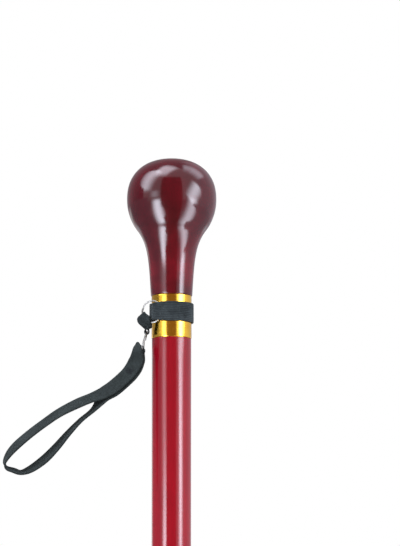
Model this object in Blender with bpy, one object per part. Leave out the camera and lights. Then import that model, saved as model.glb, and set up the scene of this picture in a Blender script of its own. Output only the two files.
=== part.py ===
"""Walking cane: a turned knob on a tapered stick, a gilt collar, a rubber foot and a webbing wrist strap.

The cane stands upright on the origin, which is the middle of the sole. +Z runs up the stick, -X is
the side where the strap hangs and -Y faces the viewer. All lengths are in metres.
"""

import math
from collections import namedtuple

import bmesh
import bpy
from mathutils import Matrix, Vector

MM = 0.001

# Whole cane
CANE_HEIGHT = 914.0 * MM
SEAT_GAP = 0.3 * MM

# Knob handle, from the crown down
KNOB_LENGTH = 74.3 * MM
KNOB_DIAMETER = 48.0 * MM
CROWN_HEIGHT = 22.0 * MM
CROWN_SQUARENESS = 2.3
BELLY_HEIGHT = 26.0 * MM
BELLY_DROP = 16.5 * MM
NECK_STEP = 0.4 * MM
NECK_FLARE = 0.06
SWEEP_PULL_BELLY = 8.0 * MM
SWEEP_PULL_NECK = 18.0 * MM
NECK_EDGE = 0.4 * MM
KNOB_SPIGOT_LENGTH = 10.5 * MM

# Collar
COLLAR_LENGTH = 23.0 * MM
COLLAR_STEP = 0.2 * MM
COLLAR_WALL = 0.8 * MM
COLLAR_EDGE = 0.3 * MM

# Stick
SHAFT_TOP_DIAMETER = 21.0 * MM
SHAFT_FOOT_DIAMETER = 20.0 * MM
SHAFT_SHOULDER_EDGE = 0.3 * MM
SHAFT_FOOT_CHAMFER = 1.0 * MM
SPIGOT_CHAMFER = 0.5 * MM

# Double-ended screw inside the joint
DOWEL_LENGTH = 60.0 * MM
DOWEL_DIAMETER = 8.0 * MM
DOWEL_CORE_DIAMETER = 6.4 * MM
DOWEL_SHANK_LENGTH = 9.0 * MM
DOWEL_POINT_LENGTH = 7.0 * MM
DRILL_POINT_LENGTH = 2.5 * MM

# Rubber ferrule, from the sole up
FERRULE_HEIGHT = 44.0 * MM
FERRULE_SOLE = 12.0 * MM
FERRULE_MOUTH_WALL = 1.8 * MM
FERRULE_SKIRT_WALL = 3.1 * MM
FERRULE_BEAD_WALL = 5.0 * MM
FERRULE_BEAD_HEIGHT = 4.4 * MM
FERRULE_GROOVE_WALL = 3.0 * MM
FERRULE_GROOVE_HEIGHT = 1.4 * MM
FERRULE_PAD_WALL = 4.4 * MM
FERRULE_PAD_HEIGHT = 10.6 * MM
FERRULE_EDGE = 1.0 * MM
TREAD_DEPTH = 1.5 * MM
TREAD_GROOVE_WIDTH = 1.6 * MM
TREAD_LAND_WIDTH = 2.2 * MM
TREAD_CENTRE_DIAMETER = 10.0 * MM
TREAD_GROOVES = 2

# Steel disc under the end of the stick
WASHER_THICKNESS = 1.2 * MM
WASHER_EDGE = 0.2 * MM

# Elastic band round the collar
BAND_DROP = 4.2 * MM
BAND_WIDTH = 10.5 * MM
BAND_THICKNESS = 0.9 * MM
BAND_EDGE = 0.2 * MM
BAND_LAP_LENGTH = 9.0 * MM
BAND_LAP_STEP = 0.4 * MM
BAND_SQUEEZE_HOLD = 2.4 * MM
BAND_SQUEEZE_RELEASE = 9.0 * MM

# Split rings, both of one size
RING_DIAMETER = 12.4 * MM
RING_WIRE_DEPTH = 0.7 * MM
RING_WIRE_WIDTH = 0.42 * MM
RING_TURN_GAP = 0.12 * MM
RING_WIRE_EDGE = 0.12 * MM
RING_JOG_DEGREES = 34.0
BAND_RING_BEARING = 64.0
BAND_RING_SPLIT = 37.0
BAND_RING_RIDE = 2.2 * MM
STRAP_RING_LEAN = 14.5
STRAP_RING_SPLIT = 0.0

# Folded webbing tab between the rings
TAB_THICKNESS = 0.7 * MM
TAB_FOLD_WIDTH = 6.9 * MM
TAB_END_WIDTH = 4.0 * MM
TAB_BEARING = -40.0
TAB_FALL = -78.0
TAB_SPREAD = 84.0
TAB_TURN_LENGTH = 2.0 * MM
TAB_DROP = 6.7 * MM
TAB_FOLD_EASE = 0.1 * MM
TAB_LEAN = 1.2 * MM
TAB_LAYER_GAP = 0.4 * MM
TAB_GATHER_START = 0.4
TAB_GATHER_END = 0.9
TAB_PIVOT_RISE = 0.4 * MM

# Wrist strap
STRAP_WIDTH = 10.0 * MM
STRAP_THICKNESS = 1.0 * MM
STRAP_BEARING = -79.0
STRAP_FOLD_WIDTH = 7.4 * MM
STRAP_FOLD_OPENING = 1.6 * MM
STRAP_LAYER_GAP = 0.3 * MM
STRAP_GATHER_LENGTH = 6.0 * MM
STRAP_PIVOT_RISE = 0.6 * MM

# Route of the doubled part of the strap: (x, z) from the lowest point of its ring, and the tilt in degrees
STRAP_SPINE = (
    (-2.2 * MM, -3.8 * MM, 50.0),
    (-4.1 * MM, -7.3 * MM, 56.0),
    (-6.3 * MM, -10.8 * MM, 58.0),
    (-9.2 * MM, -14.1 * MM, 58.0),
    (-15.0 * MM, -19.2 * MM, 56.0),
    (-19.7 * MM, -22.3 * MM, 50.0),
)
# Route of the open loop, out along its upper leg and back along its lower leg
STRAP_LOOP = (
    (-26.6 * MM, -24.5 * MM, 40.0),
    (-33.0 * MM, -26.9 * MM, 36.0),
    (-43.6 * MM, -32.4 * MM, 28.0),
    (-51.7 * MM, -37.8 * MM, 26.0),
    (-59.7 * MM, -43.9 * MM, 26.0),
    (-67.3 * MM, -50.6 * MM, 24.0),
    (-70.9 * MM, -54.8 * MM, 20.0),
    (-72.2 * MM, -58.3 * MM, 13.0),
    (-71.2 * MM, -61.4 * MM, 6.0),
    (-68.5 * MM, -63.8 * MM, -2.0),
    (-64.6 * MM, -64.7 * MM, -9.0),
    (-60.0 * MM, -63.2 * MM, -23.0),
    (-52.3 * MM, -57.6 * MM, -31.0),
    (-45.7 * MM, -50.9 * MM, -26.0),
    (-38.7 * MM, -43.0 * MM, -21.0),
    (-32.2 * MM, -36.3 * MM, -15.0),
    (-25.6 * MM, -30.3 * MM, -14.0),
)

# Facets
ROUND_SIDES = 44
SCREW_SIDES = 20
CROWN_STEPS = 8
BELLY_STEPS = 5
SWEEP_STEPS = 10
EDGE_STEPS = 2
BEAD_STEPS = 5
BAND_ARC_DEGREES = 6.0
RING_STEPS = 30
TAB_SIDE_STEPS = 9
FOLD_STEPS = 6
STRAP_STEP = 2.6 * MM
STRAP_FINE_STEP = 1.2 * MM
ACROSS_STEPS = 4
WELD_DISTANCE = 1e-6
SMOOTH_ANGLE = math.radians(35.0)

# Heights and radii that follow from the sizes above
COLLAR_TOP = CANE_HEIGHT - KNOB_LENGTH
COLLAR_BOTTOM = COLLAR_TOP - COLLAR_LENGTH
COLLAR_RADIUS = SHAFT_TOP_DIAMETER / 2 + COLLAR_STEP
NECK_RADIUS = COLLAR_RADIUS + NECK_STEP
SPIGOT_RADIUS = COLLAR_RADIUS - COLLAR_WALL - SEAT_GAP
JOINT_HEIGHT = COLLAR_TOP - KNOB_SPIGOT_LENGTH
DOWEL_HOLE_RADIUS = DOWEL_DIAMETER / 2 + SEAT_GAP
DOWEL_HOLE_DEPTH = DOWEL_LENGTH / 2 + SEAT_GAP
WASHER_BASE = FERRULE_SOLE + SEAT_GAP
SHAFT_BASE = WASHER_BASE + WASHER_THICKNESS + SEAT_GAP
FERRULE_BORE_RADIUS = SHAFT_FOOT_DIAMETER / 2 + SEAT_GAP
BAND_MIDDLE = COLLAR_TOP - BAND_DROP - BAND_WIDTH / 2
BAND_PATH_RADIUS = COLLAR_RADIUS + SEAT_GAP + BAND_THICKNESS / 2
RING_RADIUS = (RING_DIAMETER - RING_WIRE_DEPTH) / 2
RING_INNER_RADIUS = RING_DIAMETER / 2 - RING_WIRE_DEPTH
RING_PITCH = RING_WIRE_WIDTH + RING_TURN_GAP
RING_HALF_WIDTH = RING_PITCH / 2 + RING_WIRE_WIDTH / 2
RING_REACH = math.hypot(RING_WIRE_DEPTH / 2, RING_HALF_WIDTH)
STRAP_FOLD_RADIUS = RING_REACH + SEAT_GAP + STRAP_THICKNESS / 2

UP = Vector((0.0, 0.0, 1.0))
FAR = Vector((0.0, 1.0, 0.0))

RingFrame = namedtuple("RingFrame", "centre along up axis")


def band_ring_frame():
    """Place of the band's ring: upright, touching the collar from outside, with its far half clear of it."""
    bearing = math.radians(BAND_RING_BEARING)
    axis = Vector((-math.cos(bearing), -math.sin(bearing), 0.0))
    along = Vector((-math.sin(bearing), math.cos(bearing), 0.0))
    touch = axis * (COLLAR_RADIUS + SEAT_GAP + RING_HALF_WIDTH)
    return RingFrame(touch + along * RING_RADIUS + UP * BAND_MIDDLE, along, UP, axis)


def strap_ring_frame():
    """Place of the strap's ring: hung in the end of the tab, seen on edge, leaning with the strap."""
    lean = math.radians(STRAP_RING_LEAN)
    up = Vector((math.sin(lean), 0.0, math.cos(lean)))
    axis = Vector((-math.cos(lean), 0.0, math.sin(lean)))
    top = ring_point(band_ring_frame(), TAB_BEARING, 0.0, 0.0) + Vector((TAB_LEAN, 0.0, -TAB_DROP))
    return RingFrame(top - up * RING_RADIUS, FAR, up, axis)


def ring_point(frame, bearing, out, aside):
    """A point near a ring's wire: bearing in degrees round the ring, then distances out and aside."""
    angle = math.radians(bearing)
    spoke = frame.along * math.cos(angle) + frame.up * math.sin(angle)
    return frame.centre + spoke * (RING_RADIUS + out) + frame.axis * aside


def fold_point(frame, bearing, beyond, aside, turn):
    """A point of a fold round a ring's wire: on its spoke inside the wire, turned off it beyond the wire."""
    angle = math.radians(bearing + turn)
    away = frame.along * math.cos(angle) + frame.up * math.sin(angle)
    return ring_point(frame, bearing, min(beyond, 0.0), aside) + away * max(beyond, 0.0)


def ease(value):
    """A smooth step from 0 to 1."""
    value = min(1.0, max(0.0, value))
    return value * value * (3.0 - 2.0 * value)


def finish(name, colour, roughness, metallic=0.0):
    """A plain surface with the piece's own colour, roughness and metallic value."""
    material = bpy.data.materials.new(name)
    material.use_nodes = True
    shader = material.node_tree.nodes["Principled BSDF"]
    shader.inputs["Base Color"].default_value = (*colour, 1.0)
    shader.inputs["Roughness"].default_value = roughness
    shader.inputs["Metallic"].default_value = metallic
    material.diffuse_color = (*colour, 1.0)
    return material


def add_piece(name, body, material, pivot=None, parent=None):
    """Turn a bmesh in world coordinates into an object whose origin is its pivot, under its parent."""
    bmesh.ops.recalc_face_normals(body, faces=body.faces[:])
    pivot = pivot or Vector()
    body.transform(Matrix.Translation(-pivot))
    mesh = bpy.data.meshes.new(name)
    body.to_mesh(mesh)
    body.free()
    mesh.shade_smooth()
    mesh.set_sharp_from_angle(angle=SMOOTH_ANGLE)
    mesh.materials.append(material)
    piece = bpy.data.objects.new(name, mesh)
    bpy.context.scene.collection.objects.link(piece)
    piece.location = pivot
    if parent:
        piece.parent = parent
        piece.location = pivot - world_origin(parent)
    return piece


def world_origin(piece):
    """Where an object's origin lies in the world, summed up its line of parents."""
    place = Vector()
    while piece:
        place += piece.location
        piece = piece.parent
    return place


def lathe(profile, sides):
    """Turn a profile of (radius, height) points round the Z axis. It ends on the axis, or closes."""
    body = bmesh.new()
    points = [body.verts.new((radius, 0.0, height)) for radius, height in profile]
    edges = [body.edges.new(pair) for pair in zip(points, points[1:])]
    if profile[0][0] > 0.0:
        edges.append(body.edges.new((points[-1], points[0])))
    bmesh.ops.spin(body, geom=points + edges, cent=(0, 0, 0), axis=(0, 0, 1), angle=math.tau,
                   steps=sides, use_merge=True)
    bmesh.ops.remove_doubles(body, verts=body.verts[:], dist=WELD_DISTANCE)
    return body


def rounded(corner_radius, corner_height, out, up, size, steps=EDGE_STEPS):
    """Points of a quarter-round edge: out and up are the signs that lead from its middle to the corner."""
    middle = (corner_radius - out * size, corner_height - up * size)
    return [(middle[0] + out * size * math.cos(math.pi / 2 * k / steps),
             middle[1] + up * size * math.sin(math.pi / 2 * k / steps)) for k in range(steps + 1)]


def sweep_points(start, start_pull, end, end_pull, steps):
    """Points of a cubic curve between two (radius, height) points, pulled along its end directions."""
    corners = [Vector(start), Vector(start) + Vector(start_pull), Vector(end) - Vector(end_pull), Vector(end)]
    points = []
    for k in range(1, steps + 1):
        t = k / steps
        weights = ((1 - t) ** 3, 3 * t * (1 - t) ** 2, 3 * t * t * (1 - t), t ** 3)
        points.append(tuple(sum((w * c for w, c in zip(weights, corners)), Vector((0.0, 0.0)))))
    return points


def knob_profile():
    """Crown, belly, the sweep down to the neck, the spigot in the collar and the hole for the screw."""
    radius = KNOB_DIAMETER / 2
    widest = CANE_HEIGHT - CROWN_HEIGHT
    power = 2.0 / CROWN_SQUARENESS
    profile = [(0.0, CANE_HEIGHT)]
    for k in range(1, CROWN_STEPS + 1):
        angle = math.pi / 2 * (1 - k / CROWN_STEPS)
        profile.append((radius * math.cos(angle) ** power, widest + CROWN_HEIGHT * math.sin(angle) ** power))
    last = math.asin(BELLY_DROP / BELLY_HEIGHT)
    for k in range(1, BELLY_STEPS + 1):
        angle = last * k / BELLY_STEPS
        profile.append((radius * math.cos(angle), widest - BELLY_HEIGHT * math.sin(angle)))
    slope = Vector((-radius * math.sin(last), -BELLY_HEIGHT * math.cos(last)))
    neck = (NECK_RADIUS, COLLAR_TOP + SEAT_GAP + NECK_EDGE)
    neck_slope = Vector((-NECK_FLARE, -1.0)) * SWEEP_PULL_NECK
    pull = slope * (SWEEP_PULL_BELLY / abs(slope.y))
    profile += sweep_points(profile[-1], pull, neck, neck_slope, SWEEP_STEPS)
    end = JOINT_HEIGHT + SEAT_GAP / 2
    hole_end = JOINT_HEIGHT + DOWEL_HOLE_DEPTH
    profile += [
        (NECK_RADIUS - NECK_EDGE, COLLAR_TOP + SEAT_GAP),
        (SPIGOT_RADIUS, COLLAR_TOP + SEAT_GAP),
        (SPIGOT_RADIUS, end + SPIGOT_CHAMFER),
        (SPIGOT_RADIUS - SPIGOT_CHAMFER, end),
        (DOWEL_HOLE_RADIUS, end),
        (DOWEL_HOLE_RADIUS, hole_end),
        (0.0, hole_end + DRILL_POINT_LENGTH),
    ]
    return profile


def shaft_profile():
    """Plain tapered stick: foot, taper, shoulder under the collar, spigot and the screw's hole."""
    foot = SHAFT_FOOT_DIAMETER / 2
    top = SHAFT_TOP_DIAMETER / 2
    shoulder = COLLAR_BOTTOM - SEAT_GAP
    end = JOINT_HEIGHT - SEAT_GAP / 2
    hole_end = JOINT_HEIGHT - DOWEL_HOLE_DEPTH
    profile = [
        (0.0, SHAFT_BASE),
        (foot - SHAFT_FOOT_CHAMFER, SHAFT_BASE),
        (foot, SHAFT_BASE + SHAFT_FOOT_CHAMFER),
    ]
    profile += rounded(top, shoulder, 1, 1, SHAFT_SHOULDER_EDGE)
    profile += [
        (SPIGOT_RADIUS, shoulder),
        (SPIGOT_RADIUS, end - SPIGOT_CHAMFER),
        (SPIGOT_RADIUS - SPIGOT_CHAMFER, end),
        (DOWEL_HOLE_RADIUS, end),
        (DOWEL_HOLE_RADIUS, hole_end),
        (0.0, hole_end - DRILL_POINT_LENGTH),
    ]
    return profile


def collar_profile():
    """Thin tube with both outer edges rounded."""
    inner = COLLAR_RADIUS - COLLAR_WALL
    profile = [(inner, COLLAR_BOTTOM)]
    profile += list(reversed(rounded(COLLAR_RADIUS, COLLAR_BOTTOM, 1, -1, COLLAR_EDGE)))
    profile += rounded(COLLAR_RADIUS, COLLAR_TOP, 1, 1, COLLAR_EDGE)
    profile.append((inner, COLLAR_TOP))
    return profile


def dowel_profile():
    """Double-ended screw: a thick shank between two cores that end in points."""
    core = DOWEL_CORE_DIAMETER / 2
    shank = DOWEL_DIAMETER / 2
    half = DOWEL_LENGTH / 2
    upper = [
        (shank, DOWEL_SHANK_LENGTH / 2),
        (core, DOWEL_SHANK_LENGTH / 2 + (shank - core)),
        (core, half - DOWEL_POINT_LENGTH),
        (0.0, half),
    ]
    profile = [(radius, JOINT_HEIGHT - height) for radius, height in reversed(upper)]
    profile += [(radius, JOINT_HEIGHT + height) for radius, height in upper]
    return profile


def ferrule_profile():
    """Rubber foot: the tread, the pad, a groove, the bead, the tapered sleeve and the bore for the stick."""
    pad = FERRULE_BORE_RADIUS + FERRULE_PAD_WALL
    groove = FERRULE_BORE_RADIUS + FERRULE_GROOVE_WALL
    bead = FERRULE_BORE_RADIUS + FERRULE_BEAD_WALL
    skirt = FERRULE_BORE_RADIUS + FERRULE_SKIRT_WALL
    mouth = FERRULE_BORE_RADIUS + FERRULE_MOUTH_WALL
    profile = [(0.0, 0.0)]
    land_end = TREAD_CENTRE_DIAMETER / 2
    for _ in range(TREAD_GROOVES):
        groove_end = land_end + TREAD_GROOVE_WIDTH
        profile += [(land_end, 0.0), (land_end, TREAD_DEPTH), (groove_end, TREAD_DEPTH), (groove_end, 0.0)]
        land_end = groove_end + TREAD_LAND_WIDTH
    profile += list(reversed(rounded(pad, 0.0, 1, -1, FERRULE_EDGE)))
    profile += rounded(pad, FERRULE_PAD_HEIGHT, 1, 1, FERRULE_EDGE / 2)
    bead_base = FERRULE_PAD_HEIGHT + FERRULE_GROOVE_HEIGHT
    profile += [(groove, FERRULE_PAD_HEIGHT), (groove, bead_base)]
    middle = bead_base + FERRULE_BEAD_HEIGHT / 2
    for k in range(BEAD_STEPS + 1):
        angle = math.pi * (k / BEAD_STEPS - 0.5)
        inner = groove if angle < 0 else skirt
        height = middle + FERRULE_BEAD_HEIGHT / 2 * math.sin(angle)
        profile.append((inner + (bead - inner) * math.cos(angle), height))
    profile += rounded(mouth, FERRULE_HEIGHT, 1, 1, FERRULE_EDGE / 2)
    profile += [
        (FERRULE_BORE_RADIUS + FERRULE_EDGE / 2, FERRULE_HEIGHT),
        (FERRULE_BORE_RADIUS, FERRULE_HEIGHT - FERRULE_EDGE / 2),
        (FERRULE_BORE_RADIUS, FERRULE_SOLE),
        (0.0, FERRULE_SOLE),
    ]
    return without_repeats(profile)


def without_repeats(profile):
    """The profile without points that fall on the one before."""
    kept = profile[:1]
    for point in profile[1:]:
        if math.dist(point, kept[-1]) > WELD_DISTANCE:
            kept.append(point)
    return kept


def washer_profile():
    """Flat steel disc with broken edges, as wide as the ferrule's bore lets it be."""
    radius = FERRULE_BORE_RADIUS - SEAT_GAP
    top = WASHER_BASE + WASHER_THICKNESS
    return [
        (0.0, WASHER_BASE),
        (radius - WASHER_EDGE, WASHER_BASE),
        (radius, WASHER_BASE + WASHER_EDGE),
        (radius, top - WASHER_EDGE),
        (radius - WASHER_EDGE, top),
        (0.0, top),
    ]


def closed_strip(stations):
    """A body swept through stations that each hold one ring of points. The last joins the first."""
    body = bmesh.new()
    rings = [[body.verts.new(point) for point in station] for station in stations]
    for here, there in zip(rings, rings[1:] + rings[:1]):
        for k in range(len(here)):
            body.faces.new((here[k - 1], here[k], there[k], there[k - 1]))
    return body


def strip_outline(thickness):
    """Outline of flat webbing as (share of the width, distance through) points, with rounded selvedges."""
    flat = [(-0.5 + 0.06) + 0.88 * k / ACROSS_STEPS for k in range(ACROSS_STEPS + 1)]
    front = [(share, thickness / 2) for share in flat]
    back = [(share, -thickness / 2) for share in reversed(flat)]
    return front + [(0.5, 0.0)] + back + [(-0.5, 0.0)]


def belt(pulleys):
    """Path of a taut belt round circles (x, y, radius), anticlockwise, as (point, outward normal) pairs."""
    count = len(pulleys)
    normals = []
    for k in range(count):
        (x0, y0, r0), (x1, y1, r1) = pulleys[k], pulleys[(k + 1) % count]
        heading = math.atan2(y1 - y0, x1 - x0)
        normals.append(heading - math.acos((r0 - r1) / math.hypot(x1 - x0, y1 - y0)))
    path = []
    for k in range(count):
        x, y, radius = pulleys[k]
        start, turn = normals[k - 1], (normals[k] - normals[k - 1]) % math.tau
        steps = max(2, math.ceil(math.degrees(turn) / BAND_ARC_DEGREES / (1 if k == 0 else 2)))
        for j in range(steps + 1):
            angle = start + turn * j / steps
            outward = Vector((math.cos(angle), math.sin(angle), 0.0))
            path.append((Vector((x, y, 0.0)) + outward * radius, outward))
    return path


def band_path():
    """Belt path of the elastic: round the collar and over the wire of its ring, which lifts it off."""
    frame = band_ring_frame()
    lift = RING_HALF_WIDTH + SEAT_GAP + BAND_THICKNESS / 2
    wire = frame.centre - frame.along * RING_RADIUS
    rest = frame.centre - frame.along * BAND_RING_RIDE
    return belt([(0.0, 0.0, BAND_PATH_RADIUS), (rest.x, rest.y, lift), (wire.x, wire.y, lift)])


def subdivide(path, step):
    """The path with its long straight runs cut into steps."""
    out = []
    for (here, normal), (there, _) in zip(path, path[1:] + path[:1]):
        out.append((here, normal))
        parts = math.ceil((there - here).length / step)
        out += [(here.lerp(there, k / parts), normal) for k in range(1, parts)]
    return out


def elastic_band_body():
    """Flat elastic in a ring: squeezed where it runs through the split ring, doubled at its sewn ends."""
    frame = band_ring_frame()
    path = subdivide(band_path(), BAND_PATH_RADIUS * math.radians(BAND_ARC_DEGREES) * 1.5)
    distances = [0.0]
    for (here, _), (there, _) in zip(path, path[1:]):
        distances.append(distances[-1] + (there - here).length)
    total = distances[-1] + (path[0][0] - path[-1][0]).length
    crossing = ring_crossing(path, distances, frame)
    worst = BAND_RING_RIDE
    squeezed = min(BAND_WIDTH, 2.0 * (math.sqrt(RING_INNER_RADIUS ** 2 - worst ** 2) - SEAT_GAP))
    lap = lap_marks(path, distances)
    stations = []
    for (point, normal), distance in zip(path, distances):
        away = abs(distance - crossing)
        away = min(away, total - away)
        release = ease((away - BAND_SQUEEZE_HOLD) / (BAND_SQUEEZE_RELEASE - BAND_SQUEEZE_HOLD))
        height = squeezed + (BAND_WIDTH - squeezed) * release
        doubled = ease((BAND_LAP_LENGTH / 2 - abs(distance - lap)) / BAND_LAP_STEP + 0.5)
        inner = point - normal * (BAND_THICKNESS / 2)
        outer = point + normal * (BAND_THICKNESS / 2 + BAND_THICKNESS * doubled)
        stations.append(band_section(inner, outer, normal, height))
    return closed_strip(stations)


def ring_crossing(path, distances, frame):
    """Distance along the band at which it passes through the plane of its ring."""
    sides = [((point + UP * BAND_MIDDLE) - frame.centre).dot(frame.axis) for point, _ in path]
    for k in range(1, len(path)):
        near_ring = (path[k][0] - frame.centre).to_2d().length < RING_RADIUS
        if sides[k - 1] < 0.0 <= sides[k] and near_ring:
            share = sides[k - 1] / (sides[k - 1] - sides[k])
            return distances[k - 1] + share * (distances[k] - distances[k - 1])
    return distances[0]


def lap_marks(path, distances):
    """Distance along the band of the middle of its sewn lap, at the back of the cane."""
    back = max(range(len(path)), key=lambda k: path[k][0].y)
    return distances[back]


def band_section(inner, outer, normal, height):
    """One cross-section of the elastic, with small broken edges."""
    half = height / 2
    middle = UP * BAND_MIDDLE
    inset = normal * BAND_EDGE
    return [
        inner + middle + UP * (BAND_EDGE - half),
        inner + middle + UP * (half - BAND_EDGE),
        inner + inset + middle + UP * half,
        outer - inset + middle + UP * half,
        outer + middle + UP * (half - BAND_EDGE),
        outer + middle + UP * (BAND_EDGE - half),
        outer - inset + middle - UP * half,
        inner + inset + middle - UP * half,
    ]


def split_ring_body(frame, split):
    """Flat wire wound in two turns that lie against each other, with one step between them at the split."""
    half_jog = math.radians(RING_JOG_DEGREES) / 2
    first, last = half_jog, 2 * math.tau - half_jog
    jog = [math.tau + half_jog * share for share in (-1.0, -0.6, -0.2, 0.2, 0.6, 1.0)]
    before = [first + (jog[0] - first) * k / RING_STEPS for k in range(RING_STEPS)]
    after = [jog[-1] + (last - jog[-1]) * k / RING_STEPS for k in range(1, RING_STEPS + 1)]
    depth, width, edge = RING_WIRE_DEPTH / 2, RING_WIRE_WIDTH / 2, RING_WIRE_EDGE
    outline = [(-depth + edge, width), (depth - edge, width), (depth, width - edge), (depth, edge - width),
               (depth - edge, -width), (edge - depth, -width), (-depth, edge - width), (-depth, width - edge)]
    body = bmesh.new()
    rings = []
    for angle in before + jog + after:
        level = RING_PITCH * (ease((angle - jog[0]) / (jog[-1] - jog[0])) - 0.5)
        bearing = split + math.degrees(angle)
        places = [ring_point(frame, bearing, out, level + aside) for out, aside in outline]
        rings.append([body.verts.new(place) for place in places])
    for here, there in zip(rings, rings[1:]):
        for k in range(len(here)):
            body.faces.new((here[k - 1], here[k], there[k], there[k - 1]))
    body.faces.new(rings[0])
    body.faces.new(reversed(rings[-1]))
    return body


def tab_loop(length, fold):
    """Round path of the tab past both wires, as (distance down, distance aside, normal) in its own plane."""
    layer = (TAB_THICKNESS + TAB_LAYER_GAP) / 2
    path = []
    for k in range(FOLD_STEPS):
        angle = math.pi * k / FOLD_STEPS
        path.append((-fold * math.sin(angle), -fold * math.cos(angle)))
    for k in range(TAB_SIDE_STEPS):
        share = k / TAB_SIDE_STEPS
        narrow = math.sin(math.pi * share) ** 0.5
        path.append((length * share, fold + (layer - fold) * narrow))
    path += [(length - down, -aside) for down, aside in path]
    return path


def link_tab_body():
    """Short webbing loop round both rings: fanned out on the upper ring, turned and gathered on the lower."""
    upper, lower = band_ring_frame(), strap_ring_frame()
    fold = RING_REACH + SEAT_GAP + TAB_THICKNESS / 2 + TAB_FOLD_EASE
    length = math.hypot(TAB_DROP, TAB_LEAN)
    path = tab_loop(length, fold)
    outline = strip_outline(TAB_THICKNESS)
    stations = []
    for k, (down, aside) in enumerate(path):
        before, after = path[k - 1], path[(k + 1) % len(path)]
        run = Vector((after[0] - before[0], after[1] - before[1])).normalized()
        station = []
        for share, through in outline:
            d, a = down - run.y * through, aside + run.x * through
            fan = math.degrees(share * TAB_FOLD_WIDTH / RING_RADIUS)
            end = math.degrees(share * TAB_END_WIDTH / RING_RADIUS)
            turn = (TAB_FALL + share * TAB_SPREAD - TAB_BEARING - fan) * ease(d / TAB_TURN_LENGTH)
            above = fold_point(upper, TAB_BEARING + fan, d, a, turn)
            below = ring_point(lower, 90.0 - end, length - d, a)
            gathered = ease((down / length - TAB_GATHER_START) / (TAB_GATHER_END - TAB_GATHER_START))
            station.append(above.lerp(below, gathered))
        stations.append(station)
    return closed_strip(stations)


def smooth_run(points, fine_length):
    """Smooth curve through all but the first and last of (x, z, tilt, aside) points, in fine steps at its start."""
    out = []
    for k in range(1, len(points) - 2):
        p = points[k - 1:k + 3]
        fine = (p[1] - points[1]).to_2d().length < fine_length
        knots = [0.0]
        for a, b in zip(p, p[1:]):
            knots.append(knots[-1] + math.sqrt((b - a).to_2d().length))
        parts = math.ceil((p[2] - p[1]).to_2d().length / (STRAP_FINE_STEP if fine else STRAP_STEP))
        out += [curve_point(p, knots, knots[1] + j / parts * (knots[2] - knots[1])) for j in range(parts)]
    return out + [points[-2]]


def doubled_strap(frame, start):
    """Both layers of the strap below its ring, out and back, as stations on one spine."""
    knots = [start + Vector((x, z, tilt, 0.0)) for x, z, tilt in STRAP_SPINE]
    lead = knots[0] + Vector((frame.up.x, frame.up.z, 0.0, 0.0)) * 2.0 * (knots[0] - start).to_2d().length
    first, last = STRAP_LOOP[0], STRAP_LOOP[-1]
    beyond = start + Vector(((first[0] + last[0]) / 2, (first[1] + last[1]) / 2, STRAP_SPINE[-1][2], 0.0))
    spine = smooth_run([lead, start] + knots + [beyond], STRAP_GATHER_LENGTH)
    layer = (STRAP_THICKNESS + STRAP_LAYER_GAP) / 2
    out, back = [], []
    along = 0.0
    for k, here in enumerate(spine):
        ahead = spine[min(k + 1, len(spine) - 1)]
        run = (ahead - spine[max(k - 1, 0)]).to_2d().normalized()
        opened = ease(along / STRAP_GATHER_LENGTH)
        height = STRAP_FOLD_RADIUS + (layer - STRAP_FOLD_RADIUS) * opened
        lean = math.radians(here[2])
        offset = Vector((run.y * math.cos(lean), -run.x * math.cos(lean), 0.0, -math.sin(lean))) * height
        out.append((here + offset, run, opened))
        back.append((here - offset - Vector((0.0, 0.0, 2.0 * here[2], 0.0)), -run, opened))
        along += (ahead - here).to_2d().length
    return out, back


def strap_stations():
    """Stations of the strap's closed path as (curve point, run, opened), starting at the crest of its fold."""
    frame = strap_ring_frame()
    low = ring_point(frame, STRAP_BEARING, 0.0, 0.0)
    start = Vector((low.x, low.z, 0.0, 0.0))
    out, back = doubled_strap(frame, start)
    loop = [start + Vector((x, z, tilt, 0.0)) for x, z, tilt in STRAP_LOOP]
    loop = smooth_run([out[-2][0], out[-1][0]] + loop + [back[-1][0], back[-2][0]], 0.0)
    single = []
    for before, here, after in zip(loop, loop[1:], loop[2:]):
        single.append((here, (after - before).to_2d().normalized(), 1.0))
    fold = []
    for k in range(1 - FOLD_STEPS // 2, FOLD_STEPS // 2):
        angle = math.pi * k / FOLD_STEPS
        spoke = (frame.up * math.cos(angle) + frame.axis * math.sin(angle)) * STRAP_FOLD_RADIUS
        run = frame.axis * math.cos(angle) - frame.up * math.sin(angle)
        fold.append((start + Vector((spoke.x, spoke.z, 0.0, 0.0)), Vector((run.x, run.z)), 0.0))
    crest = FOLD_STEPS // 2 - 1
    return fold[crest:] + out + single + back[::-1] + fold[:crest]


def curve_point(p, knots, t):
    """Point of the curve between p[1] and p[2], by repeated blending of its four points."""
    def blend(a, b, start, end):
        return a * ((end - t) / (end - start)) + b * ((t - start) / (end - start))

    first = [blend(p[k], p[k + 1], knots[k], knots[k + 1]) for k in range(3)]
    second = [blend(first[k], first[k + 1], knots[k], knots[k + 2]) for k in range(2)]
    return blend(second[0], second[1], knots[1], knots[2])


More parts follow.
